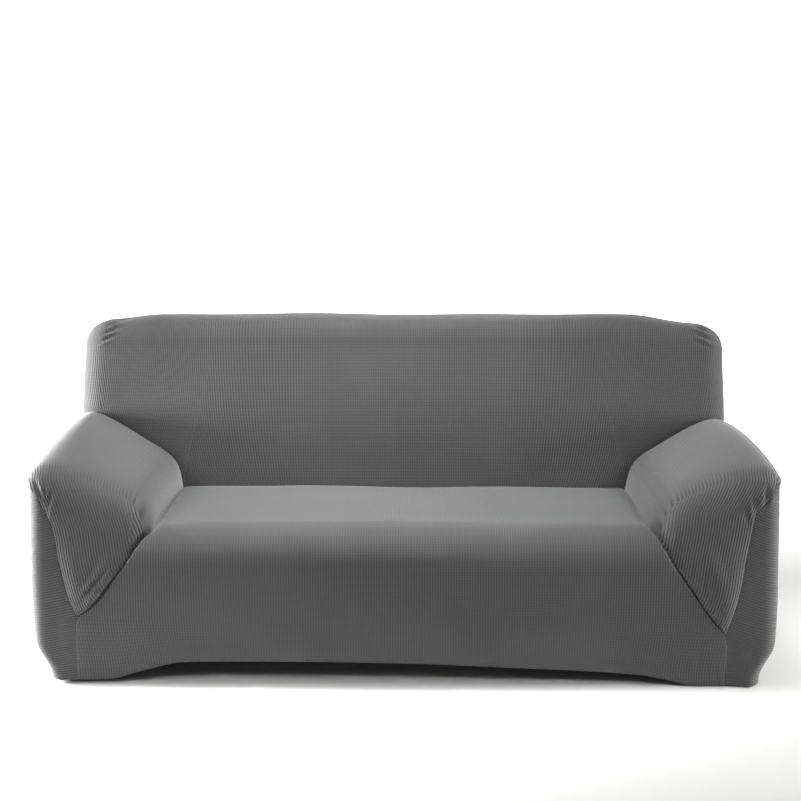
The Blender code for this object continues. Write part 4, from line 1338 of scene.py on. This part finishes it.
def ribbed_knit(name):
    """Ribbed stretch polyester and elastane knit: matt, soft ribs with a faint bloom at grazing light.

    Its rounded ribs stand 7.1 mm apart. Rows of loops cross them, drawn 7.3 mm apart, which is coarser
    than the real ones, so that they still show; together they give the eye a finely beaded surface.
    """
    knit = bpy.data.materials.new(name)
    knit.use_nodes = True
    tree = knit.node_tree
    tree.nodes.clear()

    def worked(operation, first, second=0.0):
        return add_node(tree, "ShaderNodeMath", {0: first, 1: second}, operation=operation).outputs[0]

    def wave(position, pitch, roundness):
        """0 in a groove and 1 on the crown beside it, over and over."""
        turned = worked("SINE", worked("MULTIPLY", position, pi / pitch))
        return worked("POWER", worked("ABSOLUTE", turned), roundness)

    def noise(scale, detail, strength):
        made = add_node(tree, "ShaderNodeTexNoise", {"Vector": place, "Scale": scale, "Detail": detail})
        return worked("MULTIPLY", worked("SUBTRACT", made.outputs["Fac"], 0.5), strength)

    place = add_node(tree, "ShaderNodeTexCoord").outputs["Object"]
    cloth = add_node(tree, "ShaderNodeUVMap", uv_map="cloth").outputs["UV"]
    cloth = add_node(tree, "ShaderNodeSeparateXYZ", {"Vector": cloth})
    depth = add_node(tree, "ShaderNodeAttribute", attribute_name="rib_depth").outputs["Fac"]
    across = worked("ADD", cloth.outputs["X"], noise(RIB_BENDS, 1.0, RIB_WANDER))
    rib = worked("MULTIPLY", depth, wave(across, RIB_PITCH, RIB_ROUNDNESS))
    loop = worked("MULTIPLY", wave(cloth.outputs["Y"], LOOP_PITCH, LOOP_ROUNDNESS), LOOP_DEPTH)
    beaded = worked("ADD", rib, loop)

    # The colour is painted shade: grooves between the ribs and loops are painted darker by the ribs'
    # height. Yarn lumps and paler patches add the yarn's own random tone.
    flat = worked("MULTIPLY", depth, RIB_MEAN)
    shade = worked("ADD", worked("SUBTRACT", beaded, flat), CROWN_SHARE)
    shade = worked("ADD", shade, noise(YARN_LUMPS, 2.0, YARN_UNEVENNESS))
    shade = worked("ADD", shade, noise(PATCHES, 3.0, PATCHINESS))
    greys = {"Factor": shade, "A": paint(PAINTED_GROOVE_SHADE), "B": paint(CROWN_GREY)}
    colours = add_node(tree, "ShaderNodeMix", greys, data_type="RGBA")
    relief = {"Strength": 1.0, "Distance": RIB_HEIGHT, "Height": beaded}
    relief = add_node(tree, "ShaderNodeBump", relief)
    surface = add_node(
        tree,
        "ShaderNodeBsdfPrincipled",
        {
            "Roughness": 0.92,
            "IOR": 1.47,
            "Specular IOR Level": 0.25,
            "Sheen Weight": 0.30,
            "Sheen Roughness": 0.45,
            "Normal": relief.outputs["Normal"],
        },
    )
    mixed = next(out for out in colours.outputs if out.type == "RGBA")
    tree.links.new(mixed, surface.inputs["Base Color"])
    add_node(tree, "ShaderNodeOutputMaterial", {"Surface": surface.outputs["BSDF"]})
    return knit


def matt_paper(name, colour):
    """Uncoated studio paper, which lights evenly and shows no shine."""
    paper = bpy.data.materials.new(name)
    paper.use_nodes = True
    surface = paper.node_tree.nodes["Principled BSDF"]
    surface.inputs["Base Color"].default_value = paint(colour)
    surface.inputs["Roughness"].default_value = 0.95
    surface.inputs["Specular IOR Level"].default_value = 0.1
    return paper


def pale_floor():
    """A wide sheet of paper that lies flat under the cover and curves up far behind it."""
    profile = [(-FLOOR_REACH, 0.0)]
    for i in range(SWEEP_STEPS + 1):
        turn = i / SWEEP_STEPS * pi / 2
        rise = SWEEP_ROUND * (1 - cos(turn))
        profile.append((SWEEP_FROM + SWEEP_ROUND * sin(turn), rise))
    profile.append((SWEEP_FROM + SWEEP_ROUND, FLOOR_REACH))
    points = [(x, y, z - FLOOR_BELOW) for y, z in profile for x in (-FLOOR_REACH, FLOOR_REACH)]
    faces = [(2 * i, 2 * i + 1, 2 * i + 3, 2 * i + 2) for i in range(len(profile) - 1)]
    mesh = bpy.data.meshes.new("pale_floor")
    mesh.from_pydata(points, [], faces)
    mesh.materials.append(matt_paper("pale_paper", PAPER_WHITE))
    mesh.shade_smooth()
    put_in_scene("pale_floor", mesh)


def soft_light(name, place, aim, width, height, power, spread):
    """A softbox: a wide, even light that faces a point, with a grid that narrows its spread."""
    lamp = bpy.data.lights.new(name, "AREA")
    lamp.shape = "RECTANGLE"
    lamp.size = width
    lamp.size_y = height
    lamp.energy = power
    lamp.spread = radians(spread)
    box = put_in_scene(name, lamp)
    box.location = place
    box.rotation_euler = (Vector(aim) - Vector(place)).to_track_quat("-Z", "Y").to_euler()
    box.visible_camera = False


def light_studio():
    world = bpy.data.worlds.new("studio_air")
    world.use_nodes = True
    air = world.node_tree.nodes["Background"]
    air.inputs["Color"].default_value = paint(AIR_WHITE)
    air.inputs["Strength"].default_value = AIR_STRENGTH
    bpy.context.scene.world = world
    bpy.context.scene.view_settings.view_transform = "Standard"
    for light in SOFTBOXES:
        soft_light(*light)


def place_camera():
    lens = bpy.data.cameras.new("front_camera")
    lens.lens = CAMERA_LENS
    lens.sensor_width = SENSOR_WIDTH
    camera = put_in_scene("front_camera", lens)
    camera.location = CAMERA_PLACE
    camera.rotation_euler = (radians(90 - CAMERA_PITCH), 0.0, radians(CAMERA_TURN))
    bpy.context.scene.camera = camera


dress()
pale_floor()
light_studio()
place_camera()

bpy.context.view_layer.update()
